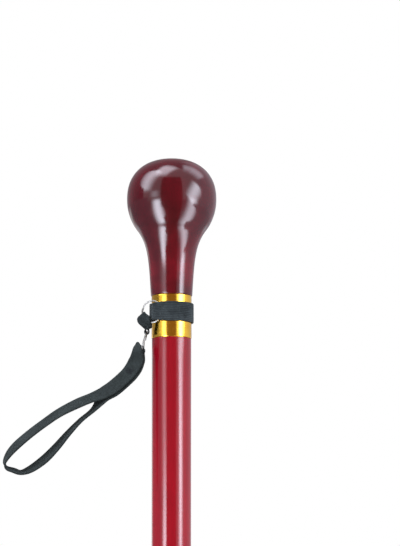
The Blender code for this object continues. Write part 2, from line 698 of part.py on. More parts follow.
def wrist_strap_body():
    """Webbing loop: gathered over its ring, doubled below it, then open for the hand."""
    frame = strap_ring_frame()
    low = ring_point(frame, STRAP_BEARING, 0.0, 0.0)
    outline = strip_outline(STRAP_THICKNESS)
    stations = []
    for (x, z, tilt, aside), run, opened in strap_stations():
        outward = Vector((run.y, 0.0, -run.x))
        lean = math.radians(tilt)
        across = FAR * math.cos(lean) + outward * math.sin(lean)
        through = outward * math.cos(lean) - FAR * math.sin(lean)
        centre = Vector((x, low.y + aside, z))
        width = STRAP_FOLD_WIDTH + (STRAP_WIDTH - STRAP_FOLD_WIDTH) * opened
        station = []
        for share, depth in outline:
            flat = centre + across * (share * width) + through * depth
            opening = STRAP_FOLD_OPENING * (share + 0.5)
            local = (centre - low) * (1.0 + opening / STRAP_FOLD_RADIUS) + outward * depth
            bearing = STRAP_BEARING + math.degrees(share * STRAP_FOLD_WIDTH / RING_RADIUS)
            saddle = fold_point(frame, bearing, -local.dot(frame.up), local.dot(frame.axis) + opening,
                                -90.0 - bearing)
            station.append(saddle.lerp(flat, opened))
        stations.append(station)
    return closed_strip(stations)


def build():
    """Make every piece of the cane, each under the piece that carries it."""
    for piece in list(bpy.data.objects):
        bpy.data.objects.remove(piece, do_unlink=True)
    lacquer_dark = finish("dark_red_lacquer", (0.16, 0.012, 0.022), 0.14)
    lacquer = finish("red_lacquer", (0.30, 0.016, 0.026), 0.16)
    gilt = finish("polished_gilt", (0.86, 0.56, 0.13), 0.16, 1.0)
    zinc = finish("zinc_plated_steel", (0.60, 0.61, 0.62), 0.34, 1.0)
    nickel = finish("nickel_plated_wire", (0.70, 0.69, 0.66), 0.22, 1.0)
    rubber = finish("dark_grey_rubber", (0.035, 0.042, 0.05), 0.55)
    elastic = finish("black_elastic", (0.018, 0.021, 0.022), 0.82)
    webbing = finish("black_webbing", (0.016, 0.018, 0.018), 0.78)

    shaft = add_piece("shaft", lathe(shaft_profile(), ROUND_SIDES), lacquer)
    add_piece("knob_handle", lathe(knob_profile(), ROUND_SIDES), lacquer_dark, parent=shaft)
    add_piece("collar", lathe(collar_profile(), ROUND_SIDES), gilt, parent=shaft)
    add_piece("dowel_screw", lathe(dowel_profile(), SCREW_SIDES), zinc, parent=shaft)
    add_piece("ferrule", lathe(ferrule_profile(), ROUND_SIDES), rubber, parent=shaft)
    add_piece("ferrule_washer", lathe(washer_profile(), ROUND_SIDES), zinc.copy(), parent=shaft)

    upper, lower = band_ring_frame(), strap_ring_frame()
    band = add_piece("elastic_band", elastic_band_body(), elastic, UP * BAND_MIDDLE, shaft)
    band_ring = add_piece("band_ring", split_ring_body(upper, BAND_RING_SPLIT), nickel, upper.centre, band)
    hold = ring_point(upper, TAB_BEARING, -TAB_PIVOT_RISE, 0.0)
    tab = add_piece("link_tab", link_tab_body(), webbing, hold, band_ring)
    eye = ring_point(lower, 90.0, 0.0, 0.0)
    strap_ring = add_piece("strap_ring", split_ring_body(lower, STRAP_RING_SPLIT), nickel.copy(), eye, tab)
    low = ring_point(lower, STRAP_BEARING, -STRAP_PIVOT_RISE, 0.0)
    add_piece("wrist_strap", wrist_strap_body(), webbing.copy(), low, strap_ring)


build()
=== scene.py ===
"""Looks of the walking cane: lacquered knob and stick, gilt collar, split rings, webbing and a rubber foot.

The pieces stand in the row frame, in metres: +Z runs up the stick, -X is the side where the strap hangs and
-Y faces the viewer. Each sub-assembly is a class that holds its sizes, builds its meshes and dresses them.
"""

import logging
import math
from collections.abc import Callable
from dataclasses import dataclass, field
from enum import Enum
from functools import partial
from typing import Protocol

import bmesh
import bpy
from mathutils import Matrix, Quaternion, Vector


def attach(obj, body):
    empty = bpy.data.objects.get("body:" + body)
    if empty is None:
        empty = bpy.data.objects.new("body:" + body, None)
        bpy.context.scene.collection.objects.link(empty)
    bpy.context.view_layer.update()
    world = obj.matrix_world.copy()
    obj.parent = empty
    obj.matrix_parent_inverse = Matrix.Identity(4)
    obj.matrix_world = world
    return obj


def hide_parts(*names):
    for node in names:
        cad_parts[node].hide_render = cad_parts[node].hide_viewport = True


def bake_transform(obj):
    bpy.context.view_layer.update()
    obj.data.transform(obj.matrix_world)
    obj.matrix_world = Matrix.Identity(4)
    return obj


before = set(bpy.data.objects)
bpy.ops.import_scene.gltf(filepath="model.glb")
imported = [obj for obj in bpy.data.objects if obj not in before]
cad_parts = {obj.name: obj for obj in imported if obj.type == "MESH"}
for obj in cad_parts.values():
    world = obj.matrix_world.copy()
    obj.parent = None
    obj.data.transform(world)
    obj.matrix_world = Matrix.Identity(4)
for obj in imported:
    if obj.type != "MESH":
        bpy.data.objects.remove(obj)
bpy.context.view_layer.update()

MM = 0.001
UP = Vector((0.0, 0.0, 1.0))
FAR = Vector((0.0, 1.0, 0.0))

Span = tuple[float, float]
Triple = tuple[float, float, float]
Outline = list[Span]
Row = Callable[[float], Vector]
Body = bmesh.types.BMesh
Piece = bpy.types.Object
Socket = bpy.types.NodeSocket

log = logging.getLogger("walking_cane")


# Small helpers for shapes


def ease(value: float) -> float:
    """A smooth step from 0 to 1."""
    value = min(1.0, max(0.0, value))
    return value * value * (3.0 - 2.0 * value)


def hermite(start: Vector, start_pull: Vector, end: Vector, end_pull: Vector, way: float) -> Vector:
    """Point at a share of the way along a cubic curve with given pulls at its ends."""
    bulge = way * (1.0 - way)
    return start.lerp(end, ease(way)) + start_pull * (bulge * (1.0 - way)) - end_pull * (bulge * way)


def quarter_round(radius: float, height: float, up: int, size: float, steps: int = 6) -> Outline:
    """Points of a rounded outer edge on a turned profile.

    Args:
        radius: Radius of the corner that the edge rounds off.
        height: Height of that corner.
        up: 1 for an upper edge, -1 for a lower one.
        size: Radius of the rounding.
        steps: Number of facets.

    Returns:
        Points of (radius, height), from the upright face to the level face.
    """
    turns = [math.pi / 2 * k / steps for k in range(steps + 1)]
    middle = (radius - size, height - up * size)
    return [(middle[0] + size * math.cos(turn), middle[1] + up * size * math.sin(turn)) for turn in turns]


def turned_body(profile: Outline, sides: int) -> Body:
    """Turn a profile round the Z axis.

    Args:
        profile: Points of (radius, height). It starts and ends on the axis, or it is a ring that closes.
        sides: Number of facets round the axis.

    Returns:
        The turned body.
    """
    body = bmesh.new()
    points = [body.verts.new((radius, 0.0, height)) for radius, height in profile]
    edges = [body.edges.new(pair) for pair in zip(points, points[1:])]
    if profile[0][0] > 0.0:
        edges.append(body.edges.new((points[-1], points[0])))
    bmesh.ops.spin(
        body,
        geom=points + edges,
        cent=(0, 0, 0),
        axis=(0, 0, 1),
        angle=math.tau,
        steps=sides,
        use_merge=True,
    )
    bmesh.ops.remove_doubles(body, verts=body.verts[:], dist=1e-6)
    return body


def add_tube(body: Body, rings: list[list[Vector]]) -> None:
    """Add a tube with closed ends.

    Args:
        body: The body that gets the tube.
        rings: Rings of points, in order along the tube.
    """
    loops = [[body.verts.new(point) for point in ring] for ring in rings]
    for here, there in zip(loops, loops[1:]):
        for j in range(len(here)):
            body.faces.new((here[j - 1], here[j], there[j], there[j - 1]))
    body.faces.new(loops[0])
    body.faces.new(loops[-1][::-1])


@dataclass
class Section:
    """One cross-section of a strip: a ring of points, each with its place across and along the weave."""

    points: list[Vector]
    weave: Outline


def closed_strip(sections: list[Section], length: float) -> Body:
    """Join cross-sections into a closed loop of webbing with weave coordinates in millimetres.

    Args:
        sections: The cross-sections in order. The last joins the first.
        length: Length of the whole loop in metres, where the weave's second coordinate ends.

    Returns:
        The body, with its weave coordinates as a UV layer.
    """
    body = bmesh.new()
    rings = [[body.verts.new(point) for point in section.points] for section in sections]
    layer = body.loops.layers.uv.new("weave")
    count = len(sections)
    for k in range(count):
        here, there = rings[k], rings[(k + 1) % count]
        near, far = sections[k].weave, sections[(k + 1) % count].weave
        shift = length / MM if k == count - 1 else 0.0
        for j in range(len(here)):
            face = body.faces.new((here[j - 1], here[j], there[j], there[j - 1]))
            marks = (near[j - 1], near[j], far[j], far[j - 1])
            for step, (loop, mark) in enumerate(zip(face.loops, marks)):
                loop[layer].uv = (mark[0], mark[1] + (shift if step > 1 else 0.0))
    return body


def selvedge(share: float, squareness: float) -> float:
    """Share of a strip's thickness at a share of its width, which falls to nothing at both edges."""
    return (1.0 - abs(2.0 * share) ** squareness) ** 0.5


def webbing_outline(thickness: float, steps: int = 14) -> Outline:
    """Outline of flat webbing with plump selvedges.

    Args:
        thickness: Thickness of the webbing.
        steps: Facets across each face.

    Returns:
        Points of (share of the width, depth through), once round.
    """
    squareness, plumpness, plump_at, plump_reach, limit = 14.0, 0.12, 0.44, 0.035, 1.1
    upper = []
    for k in range(steps + 1):
        share = -0.5 * math.cos(math.pi * k / steps)
        plump = 1.0 + plumpness * math.exp(-(((abs(share) - plump_at) / plump_reach) ** 2))
        depth = thickness / 2 * min(selvedge(share, squareness) * plump, limit)
        upper.append((share, depth))
    return upper + [(share, -depth) for share, depth in reversed(upper[1:-1])]


def woven_strip(rows: list[Row], outline: Outline, width: float, probe: float = 0.02) -> tuple[Body, float]:
    """Weave a closed strip along rows of its middle surface.

    Args:
        rows: For each station, the place of the middle surface by share of the width.
        outline: Points of (share of the width, depth through) round the section.
        width: Width of the flat webbing, for the weave's coordinates.
        probe: Share of the width over which the direction across is felt.

    Returns:
        The body and the length of the loop.
    """
    sections, mark = [], 0.0
    for k, row in enumerate(rows):
        before, after = rows[k - 1], rows[(k + 1) % len(rows)]
        points = []
        for share, depth in outline:
            across = row(share + probe) - row(share - probe)
            along = after(share) - before(share)
            points.append(row(share) + across.cross(along).normalized() * depth)
        sections.append(Section(points, [(share * width / MM, mark / MM) for share, _ in outline]))
        mark += (after(0.0) - row(0.0)).length
    return closed_strip(sections, mark), mark


def smooth_curve(points: list[Vector], step: float) -> list[Vector]:
    """Smooth curve through all but the first and last of the points.

    Args:
        points: Points whose first two values are a place in the strap's plane; the others follow it.
        step: Largest distance between two points of the result.

    Returns:
        Points of the curve.
    """
    out = []
    for k in range(1, len(points) - 2):
        stretch = points[k - 1:k + 3]
        knots = [0.0]
        for a, b in zip(stretch, stretch[1:]):
            knots.append(knots[-1] + math.sqrt((b - a).to_2d().length))
        parts = math.ceil((stretch[2] - stretch[1]).to_2d().length / step)
        for j in range(parts):
            t = knots[1] + j / parts * (knots[2] - knots[1])
            row = stretch
            for order in (1, 2, 3):
                spans = []
                for i in range(len(row) - 1):
                    low, high = (knots[i], knots[i + order]) if order < 3 else (knots[1], knots[2])
                    near, far = (high - t) / (high - low), (t - low) / (high - low)
                    spans.append(row[i] * near + row[i + 1] * far)
                row = spans
            out.append(row[0])
    return out + [points[-2]]


class Finish(Protocol):
    """Anything that can be made into a material."""

    def make(self) -> bpy.types.Material:
        """Build the material."""


def add_piece(name: str, body: Body, finish: Finish, crease: float = 40.0) -> Piece:
    """Turn a body into a smooth shaded object of the scene.

    Args:
        name: Name of the object.
        body: Its shape, in the row frame. It is freed.
        finish: Its finish.
        crease: Angle in degrees above which an edge stays sharp.

    Returns:
        The object.
    """
    bmesh.ops.recalc_face_normals(body, faces=body.faces[:])
    mesh = bpy.data.meshes.new(name)
    body.to_mesh(mesh)
    body.free()
    mesh.shade_smooth()
    mesh.set_sharp_from_angle(angle=math.radians(crease))
    mesh.materials.append(finish.make())
    piece = bpy.data.objects.new(name, mesh)
    bpy.context.scene.collection.objects.link(piece)
    return piece


@dataclass(frozen=True)
class Bend:
    """Where cloth bends from the body it hangs on to the body it carries."""

    upper: str
    start: Vector
    end: Vector


def mount(piece: Piece, body: str, slot: str, *nodes: str, bend: Bend | None = None) -> None:
    """Let a piece ride on a CAD body, unless it has a bend, and hide the CAD nodes that it stands for.

    Args:
        piece: The piece.
        body: Name of the body that carries it.
        slot: Not used.
        nodes: CAD nodes that the piece stands for.
        bend: If given, the piece is not attached to the body; its transform is baked into its mesh.
    """
    if bend:
        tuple(bend.start)
        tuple(bend.end)
        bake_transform(piece)
    else:
        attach(piece, body)
    if nodes:
        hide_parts(*nodes)
    log.info("%s rides on %s, %d faces", piece.name, body, len(piece.data.polygons))


# Finishes


def tint(*shown: int) -> Triple:
    """A colour written as a picture shows it, turned into the shader's own scale."""
    parts = [value / 255 for value in shown]
    return tuple(v / 12.92 if v <= 0.04045 else ((v + 0.055) / 1.055) ** 2.4 for v in parts)


ZINC = tint(196, 200, 206)
DULL_ZINC = tint(150, 150, 150)


class NodeBoard:
    """A node tree with short calls that lay nodes and join them."""

    def __init__(self, tree: bpy.types.NodeTree) -> None:
        """Take over a tree."""
        self.tree = tree

    def lay(self, kind: str, feeds: dict | None = None, **settings: object) -> bpy.types.Node:
        """Lay one node.

        Args:
            kind: Kind of shader node, without its prefix.
            feeds: Input name or number to a value or an output socket.
            settings: Properties of the node.

        Returns:
            The node.
        """
        node = self.tree.nodes.new("ShaderNode" + kind)
        for name, value in settings.items():
            setattr(node, name, value)
        for entry, value in (feeds or {}).items():
            self.feed(node, entry, value)
        return node

    def feed(self, node: bpy.types.Node, entry: str | int, value: object) -> None:
        """Set an input of a node, or join an output to it.

        Args:
            node: The node.
            entry: Name or number of the input.
            value: A plain value or an output socket.
        """
        if isinstance(value, Socket):
            self.tree.links.new(value, node.inputs[entry])
        else:
            node.inputs[entry].default_value = value

    def maths(self, operation: str, first: object, second: object) -> Socket:
        """Two numbers put together by a maths node."""
        return self.lay("Math", {0: first, 1: second}, operation=operation).outputs[0]

    def plus(self, first: object, second: object) -> Socket:
        """The sum of two numbers."""
        return self.maths("ADD", first, second)

    def times(self, first: object, second: object) -> Socket:
        """The product of two numbers."""
        return self.maths("MULTIPLY", first, second)

    def shift(self, value: Socket, to: Span, over: Span = (0.0, 1.0), smooth: bool = False) -> Socket:
        """Map a value from one span to another, clamped.

        Args:
            value: The value.
            to: What it is at the start and at the end of the span.
            over: The span.
            smooth: Whether it eases in and out.

        Returns:
            The mapped value.
        """
        feeds = {"Value": value, "From Min": over[0], "From Max": over[1], "To Min": to[0], "To Max": to[1]}
        kind = "SMOOTHSTEP" if smooth else "LINEAR"
        return self.lay("MapRange", feeds, interpolation_type=kind).outputs["Result"]


class FinishBoard(NodeBoard):
    """The node tree of one finish, round its shader."""

    def __init__(self, name: str) -> None:
        """Start a finish.

        Args:
            name: Name of the material.
        """
        self.material = bpy.data.materials.new(name)
        self.material.use_nodes = True
        super().__init__(self.material.node_tree)
        self.shader = self.tree.nodes["Principled BSDF"]

    def place(self, stretch: Triple = (1.0, 1.0, 1.0)) -> Socket:
        """The object's own coordinates in metres, stretched by a factor along each axis."""
        source = self.lay("TexCoord").outputs["Object"]
        return self.lay("Mapping", {"Vector": source, "Scale": stretch}).outputs["Vector"]

    def weave(self, lengthwise: float = 1.0) -> Socket:
        """Coordinates across and along a strip in millimetres, stretched by a factor along it."""
        source = self.lay("UVMap", uv_map="weave").outputs["UV"]
        return self.lay("Mapping", {"Vector": source, "Scale": (1.0, lengthwise, 1.0)}).outputs["Vector"]

    def height(self) -> Socket:
        """Height above the floor in metres."""
        return self.lay("SeparateXYZ", {0: self.place()}).outputs["Z"]

    def noise(self, density: Triple, detail: float = 3.0, rough: float = 0.5) -> Socket:
        """Grey cloud noise.

        Args:
            density: Number of clouds over one metre along each axis.
            detail: Number of finer layers.
            rough: Strength of the finer layers.

        Returns:
            The noise's grey output.
        """
        feeds = {"Vector": self.place(density), "Scale": 1.0, "Detail": detail, "Roughness": rough}
        return self.lay("TexNoise", feeds).outputs["Fac"]

    def stripes(self, vector: Socket, scale: float, direction: str, phase: float = 0.0) -> Socket:
        """Regular stripes, one over each 0.314 of a unit divided by the scale.

        Args:
            vector: Coordinates.
            scale: Scale of the wave.
            direction: X, Y or DIAGONAL.
            phase: Phase of the wave in radians.

        Returns:
            The wave's grey output.
        """
        feeds = {"Vector": vector, "Scale": scale, "Phase Offset": phase}
        return self.lay("TexWave", feeds, bands_direction=direction).outputs["Fac"]

    def mix(self, share: object, first: object, second: object, blend: str = "MIX") -> Socket:
        """Mix two colours.

        Args:
            share: How much of the second.
            first: Colour or output socket.
            second: Colour or output socket.
            blend: Blender's blend type.

        Returns:
            The mixed colour.
        """
        first, second = (v if isinstance(v, Socket) else (*v, 1.0) for v in (first, second))
        node = self.lay("Mix", {0: share, 6: first, 7: second}, data_type="RGBA", blend_type=blend)
        return node.outputs[2]

    def emboss(self, relief: Socket, depth: float, strength: float = 1.0) -> None:
        """Add relief to the finish, over any that it has.

        Args:
            relief: Grey value of the relief.
            depth: Depth of the relief in metres.
            strength: Share of it that shows.
        """
        feeds = {"Height": relief, "Distance": depth, "Strength": strength}
        below = self.shader.inputs["Normal"]
        if below.is_linked:
            feeds["Normal"] = below.links[0].from_socket
        self.feed(self.shader, "Normal", self.lay("Bump", feeds).outputs["Normal"])

    def dress(self, **values: object) -> bpy.types.Material:
        """Set the shader's own inputs and give the finished material.

        Args:
            values: Input names, with underscores for spaces, to values, colours or output sockets.

        Returns:
            The material.
        """
        for name, value in values.items():
            if isinstance(value, tuple):
                value = (*value, 1.0)
            self.feed(self.shader, name.replace("_", " "), value)
        return self.material


@dataclass(frozen=True)
class Lacquer:
    """Tinted gloss lacquer on turned hardwood, with the wood's faint grain under it and handling marks.

    The tone rises from deep to bright over the heights of rise, and falls to a share over those of fall.
    """

    name: str
    deep: Triple
    bright: Triple
    mottle: float
    rise: Span
    fall: Span
    fallen: float

    def make(self) -> bpy.types.Material:
        """Build the material.

        Returns:
            The material.
        """
        board = FinishBoard(self.name)
        grain = board.noise((170.0, 170.0, 5.0), detail=5.0, rough=0.62)
        cloud = board.noise((75.0, 75.0, 75.0), detail=4.0, rough=0.55)
        marks = board.noise((90.0, 90.0, 30.0), detail=6.0, rough=0.7)
        lower = board.shift(board.height(), (0.0, 1.0), self.rise)
        upper = board.shift(board.height(), (1.0, self.fallen), self.fall)
        tone = board.times(board.times(lower, upper), board.shift(grain, (0.72, 1.12), (0.3, 0.7)))
        tone = board.times(tone, board.shift(cloud, (1.0 - self.mottle, 1.0), (0.35, 0.62)))
        board.emboss(board.noise((95.0, 95.0, 45.0), detail=2.5, rough=0.45), 0.26 * MM)
        board.emboss(marks, 0.018 * MM)
        return board.dress(
            Base_Color=board.mix(tone, self.deep, self.bright),
            Roughness=board.shift(marks, (0.30, 0.48), (0.35, 0.7)),
            Specular_IOR_Level=0.0,
            Coat_Weight=1.0,
            Coat_Roughness=0.13,
            Coat_IOR=1.5,
        )


@dataclass(frozen=True)
class Gilt:
    """Polished gilt brass tube with fine turning lines, faint tarnish and a few dull finger marks."""

    name: str
    bright: Triple
    tarnished: Triple

    def make(self) -> bpy.types.Material:
        """Build the material.

        Returns:
            The material.
        """
        board = FinishBoard(self.name)
        lines = board.noise((40.0, 40.0, 5200.0), detail=2.0)
        cloud = board.noise((120.0, 120.0, 160.0), detail=4.0, rough=0.6)
        dull = board.shift(cloud, (0.0, 0.10), (0.45, 0.75))
        board.emboss(lines, 0.012 * MM)
        board.emboss(board.noise((70.0, 70.0, 20.0), detail=2.0), 0.08 * MM)
        return board.dress(
            Base_Color=board.mix(board.shift(cloud, (0.0, 0.55), (0.42, 0.75)), self.bright, self.tarnished),
            Metallic=1.0,
            Roughness=board.plus(board.shift(lines, (0.10, 0.17), (0.3, 0.7)), dull),
        )


@dataclass(frozen=True)
class PlatedSteel:
    """Plated steel wire or sheet: drawn lines along it, small dull spots and a warm or cold cast."""

    name: str
    bright: Triple
    dull: Triple
    rough: float
    lines: Triple = (900.0, 900.0, 900.0)

    def make(self) -> bpy.types.Material:
        """Build the material.

        Returns:
            The material.
        """
        board = FinishBoard(self.name)
        spots = board.noise((700.0, 700.0, 700.0), detail=5.0, rough=0.65)
        board.emboss(board.noise(self.lines, detail=2.0), 0.01 * MM)
        return board.dress(
            Base_Color=board.mix(board.shift(spots, (0.0, 1.0), (0.45, 0.7)), self.bright, self.dull),
            Metallic=1.0,
            Roughness=board.shift(spots, (self.rough, self.rough + 0.16), (0.4, 0.75)),
        )


@dataclass(frozen=True)
class Rubber:
    """Moulded rubber: fine grain, a blue-grey bloom and scuffs that thicken towards the sole."""

    name: str
    fresh: Triple
    bloom: Triple
    scuffed: Triple
    scuff_height: float = 14.0 * MM

    def make(self) -> bpy.types.Material:
        """Build the material.

        Returns:
            The material.
        """
        board = FinishBoard(self.name)
        grain = board.noise((2600.0, 2600.0, 2600.0), detail=3.0, rough=0.6)
        cloud = board.noise((90.0, 90.0, 90.0), detail=4.0, rough=0.6)
        streaks = board.noise((500.0, 500.0, 160.0), detail=5.0, rough=0.7)
        low = board.shift(board.height(), (1.0, 0.0), (0.0, self.scuff_height))
        worn = board.times(low, board.shift(streaks, (0.0, 1.0), (0.48, 0.68)))
        colour = board.mix(board.shift(cloud, (0.0, 0.8), (0.35, 0.7)), self.fresh, self.bloom)
        board.emboss(grain, 0.03 * MM, 0.8)
        board.emboss(streaks, 0.05 * MM, 0.6)
        return board.dress(
            Base_Color=board.mix(board.times(worn, 0.6), colour, self.scuffed),
            Roughness=board.plus(board.shift(cloud, (0.42, 0.56), (0.3, 0.7)), board.times(worn, 0.25)),
            Specular_IOR_Level=0.42,
        )


@dataclass(frozen=True)
class Threads:
    """One set of threads in a weave: its stripes and the height of its relief."""

    scale: float
    direction: str
    relief: float
    lengthwise: float = 1.0
    phase: float = 0.0


class Weave(Enum):
    """How a strip of webbing is woven: its sets of threads, and the depth of its relief in metres."""

    TWILL = (
        (Threads(0.62, "DIAGONAL", 0.55, 0.55), Threads(0.78, "Y", 0.25), Threads(0.62, "X", 0.35)),
        0.11 * MM,
    )
    ELASTIC = ((Threads(0.3291, "X", 0.6, phase=math.pi), Threads(0.9, "Y", 0.3)), 0.05 * MM)


@dataclass(frozen=True)
class Webbing:
    """Black woven strip: warp ribs along it, weft across it, fuzz that greys its ribs, and painted shade
    that darkens its selvedges.

    The edge field tells at how many millimetres from its edges the painted shade starts, and where it is
    darkest.
    """

    name: str
    weave: Weave
    shade: Triple
    lifted: Triple
    width: float
    shaded_edge: Span = (0.5, 0.1)

    def make(self) -> bpy.types.Material:
        """Build the material.

        Returns:
            The material.
        """
        board = FinishBoard(self.name)
        sets, depth = self.weave.value
        relief = None
        for threads in sets:
            lines = board.weave(threads.lengthwise)
            lines = board.stripes(lines, threads.scale, threads.direction, threads.phase)
            lines = board.times(lines, threads.relief)
            relief = board.plus(relief, lines) if relief else lines
        fuzz = board.noise((4200.0, 4200.0, 4200.0), detail=4.0, rough=0.7)
        cloud = board.noise((160.0, 160.0, 160.0), detail=3.0, rough=0.6)
        raised = board.shift(relief, (0.0, 0.75), (0.35, 1.1))
        high = board.times(raised, board.shift(fuzz, (0.3, 1.0), (0.35, 0.65)))
        high = board.plus(high, board.shift(cloud, (0.0, 0.45), (0.35, 0.75)))
        # Painted shade: towards both selvedges the lifted colour fades to a quarter, so the edges darken.
        side = board.maths("ABSOLUTE", board.lay("SeparateXYZ", {0: board.weave()}).outputs["X"], 0.0)
        start, end = (self.width / 2 / MM - inset for inset in self.shaded_edge)
        high = board.times(high, board.shift(side, (1.0, 0.25), (start, end)))
        board.emboss(relief, depth)
        board.emboss(fuzz, 0.03 * MM)
        return board.dress(
            Base_Color=board.mix(high, self.shade, self.lifted),
            Roughness=board.shift(fuzz, (0.72, 0.95), (0.3, 0.7)),
            Specular_IOR_Level=0.08,
            Sheen_Weight=0.04,
            Sheen_Roughness=0.45,
            Sheen_Tint=(0.55, 0.62, 0.64),
        )


@dataclass(frozen=True)
class Thread:
    """Black sewing thread with a slight lustre, a twist, and painted highlights on the twist's ridges."""

    name: str
    shade: Triple = tint(30, 33, 35)

    def make(self) -> bpy.types.Material:
        """Build the material.

        Returns:
            The material.
        """
        board = FinishBoard(self.name)
        twist = board.stripes(board.place(), 420.0, "DIAGONAL")
        board.emboss(twist, 0.04 * MM)
        # Painted highlight: the twist's ridges are drawn lighter than the thread's own colour.
        lit = tuple(v * 1.6 for v in self.shade)
        colour = board.mix(board.shift(twist, (0.0, 0.5)), self.shade, lit)
        return board.dress(Base_Color=colour, Roughness=0.7, Specular_IOR_Level=0.1)


@dataclass(frozen=True)
class FloorPaper:
    """Pale seamless paper of the floor, very slightly uneven."""

    name: str
    shade: Triple

    def make(self) -> bpy.types.Material:
        """Build the material.

        Returns:
            The material.
        """
        board = FinishBoard(self.name)
        fibre = board.noise((300.0, 300.0, 300.0), detail=4.0, rough=0.6)
        board.emboss(fibre, 0.02 * MM)
        darker = tuple(v * 0.985 for v in self.shade)
        colour = board.mix(board.shift(fibre, (0.0, 0.4)), self.shade, darker)
        return board.dress(Base_Color=colour, Roughness=0.85, Specular_IOR_Level=0.2)


@dataclass(frozen=True)
class LitPaper:
    """Lit paper of a studio card, as bright as the tone painted on its corners."""

    name: str

    def make(self) -> bpy.types.Material:
        """Build the material.

        Returns:
            The material.
        """
        board = FinishBoard(self.name)
        tone = board.lay("Attribute", attribute_name="shade").outputs["Color"]
        fibre = board.shift(board.noise((5.0, 5.0, 5.0)), (0.94, 1.06), (0.3, 0.7))
        grey = board.lay("CombineColor", {0: fibre, 1: fibre, 2: fibre}).outputs[0]
        return board.dress(
            Base_Color=(0.0, 0.0, 0.0),
            Roughness=1.0,
            Specular_IOR_Level=0.0,
            Emission_Color=board.mix(1.0, tone, grey, "MULTIPLY"),
            Emission_Strength=1.0,
        )


# Sub-assemblies


@dataclass
class Stitches:
    """Stitches of one thread, each of which dives into the cloth at both ends."""

    name: str
    thread: str
    radius: float
    rise: float
    fullness: float = 0.6
    sink: float = 0.9
    dive: float = 0.42 * math.pi
    steps: int = 8
    sides: int = 6
    body: Body = field(default_factory=bmesh.new)

    def add(self, start: Vector, end: Vector, out: Vector) -> None:
        """Add one stitch.

        Args:
            start: Where the thread comes out.
            end: Where it goes in.
            out: Direction out of the cloth.
        """
        along = (end - start).normalized()
        beside = along.cross(out).normalized()
        turns = [math.tau * j / self.sides for j in range(self.sides)]
        rings = []
        for share in (k / self.steps for k in range(self.steps + 1)):
            lift = self.rise * math.sin(math.pi * share) ** self.fullness - self.radius * self.sink
            centre = start.lerp(end, share) + out * lift
            slope = self.dive * (1.0 - 2.0 * share) ** 3
            normal = out * math.cos(slope) - along * math.sin(slope)
            spokes = (normal * math.cos(turn) + beside * math.sin(turn) for turn in turns)
            rings.append([centre + spoke * self.radius for spoke in spokes])
        add_tube(self.body, rings)

    def build(self) -> Piece:
        """Make the sewing a piece of the scene."""
        return add_piece(self.name, self.body, Thread(self.thread))


@dataclass(frozen=True)
class CaneSizes:
    """Sizes that several sub-assemblies share."""

    height: float = 914.0 * MM
    knob_length: float = 74.3 * MM
    knob_spigot: float = 10.5 * MM
    collar_length: float = 23.0 * MM
    collar_step: float = 0.2 * MM
    collar_wall: float = 0.8 * MM
    stick_top: float = 21.0 * MM
    stick_foot: float = 20.0 * MM
    spigot_chamfer: float = 0.5 * MM
    screw_hole: float = 4.3 * MM
    hole_depth: float = 30.3 * MM
    drill_point: float = 2.5 * MM
    seat_gap: float = 0.3 * MM
    hairline: float = 0.03 * MM
    foot_sole: float = 12.0 * MM
    disc_thickness: float = 1.2 * MM

    @property
    def collar_top(self) -> float:
        """Height of the collar's upper end."""
        return self.height - self.knob_length

    @property
    def collar_bottom(self) -> float:
        """Height of the collar's lower end."""
        return self.collar_top - self.collar_length

    @property
    def collar_radius(self) -> float:
        """Outer radius of the collar."""
        return self.stick_top / 2 + self.collar_step

    @property
    def joint_height(self) -> float:
        """Height at which the knob's wood meets the stick's."""
        return self.collar_top - self.knob_spigot

    @property
    def stick_base(self) -> float:
        """Height of the stick's lower end, on its steel disc."""
        return self.foot_sole + self.disc_thickness + 2 * self.seat_gap

    def spigot(self, shoulder: float, side: int) -> Outline:
        """Outline of the wood inside the collar, from its shoulder to the bottom of the screw's hole.

        Args:
            shoulder: Height at which the wood steps back into the collar.
            side: 1 for the knob's wood, above the joint, and -1 for the stick's.

        Returns:
            Points of (radius, height).
        """
        radius = self.collar_radius - self.collar_wall - self.seat_gap
        end = self.joint_height + side * self.seat_gap / 2
        bottom = self.joint_height + side * self.hole_depth
        return [
            (radius, shoulder),
            (radius, end + side * self.spigot_chamfer),
            (radius - self.spigot_chamfer, end),
            (self.screw_hole, end),
            (self.screw_hole, bottom),
            (0.0, bottom + side * self.drill_point),
        ]


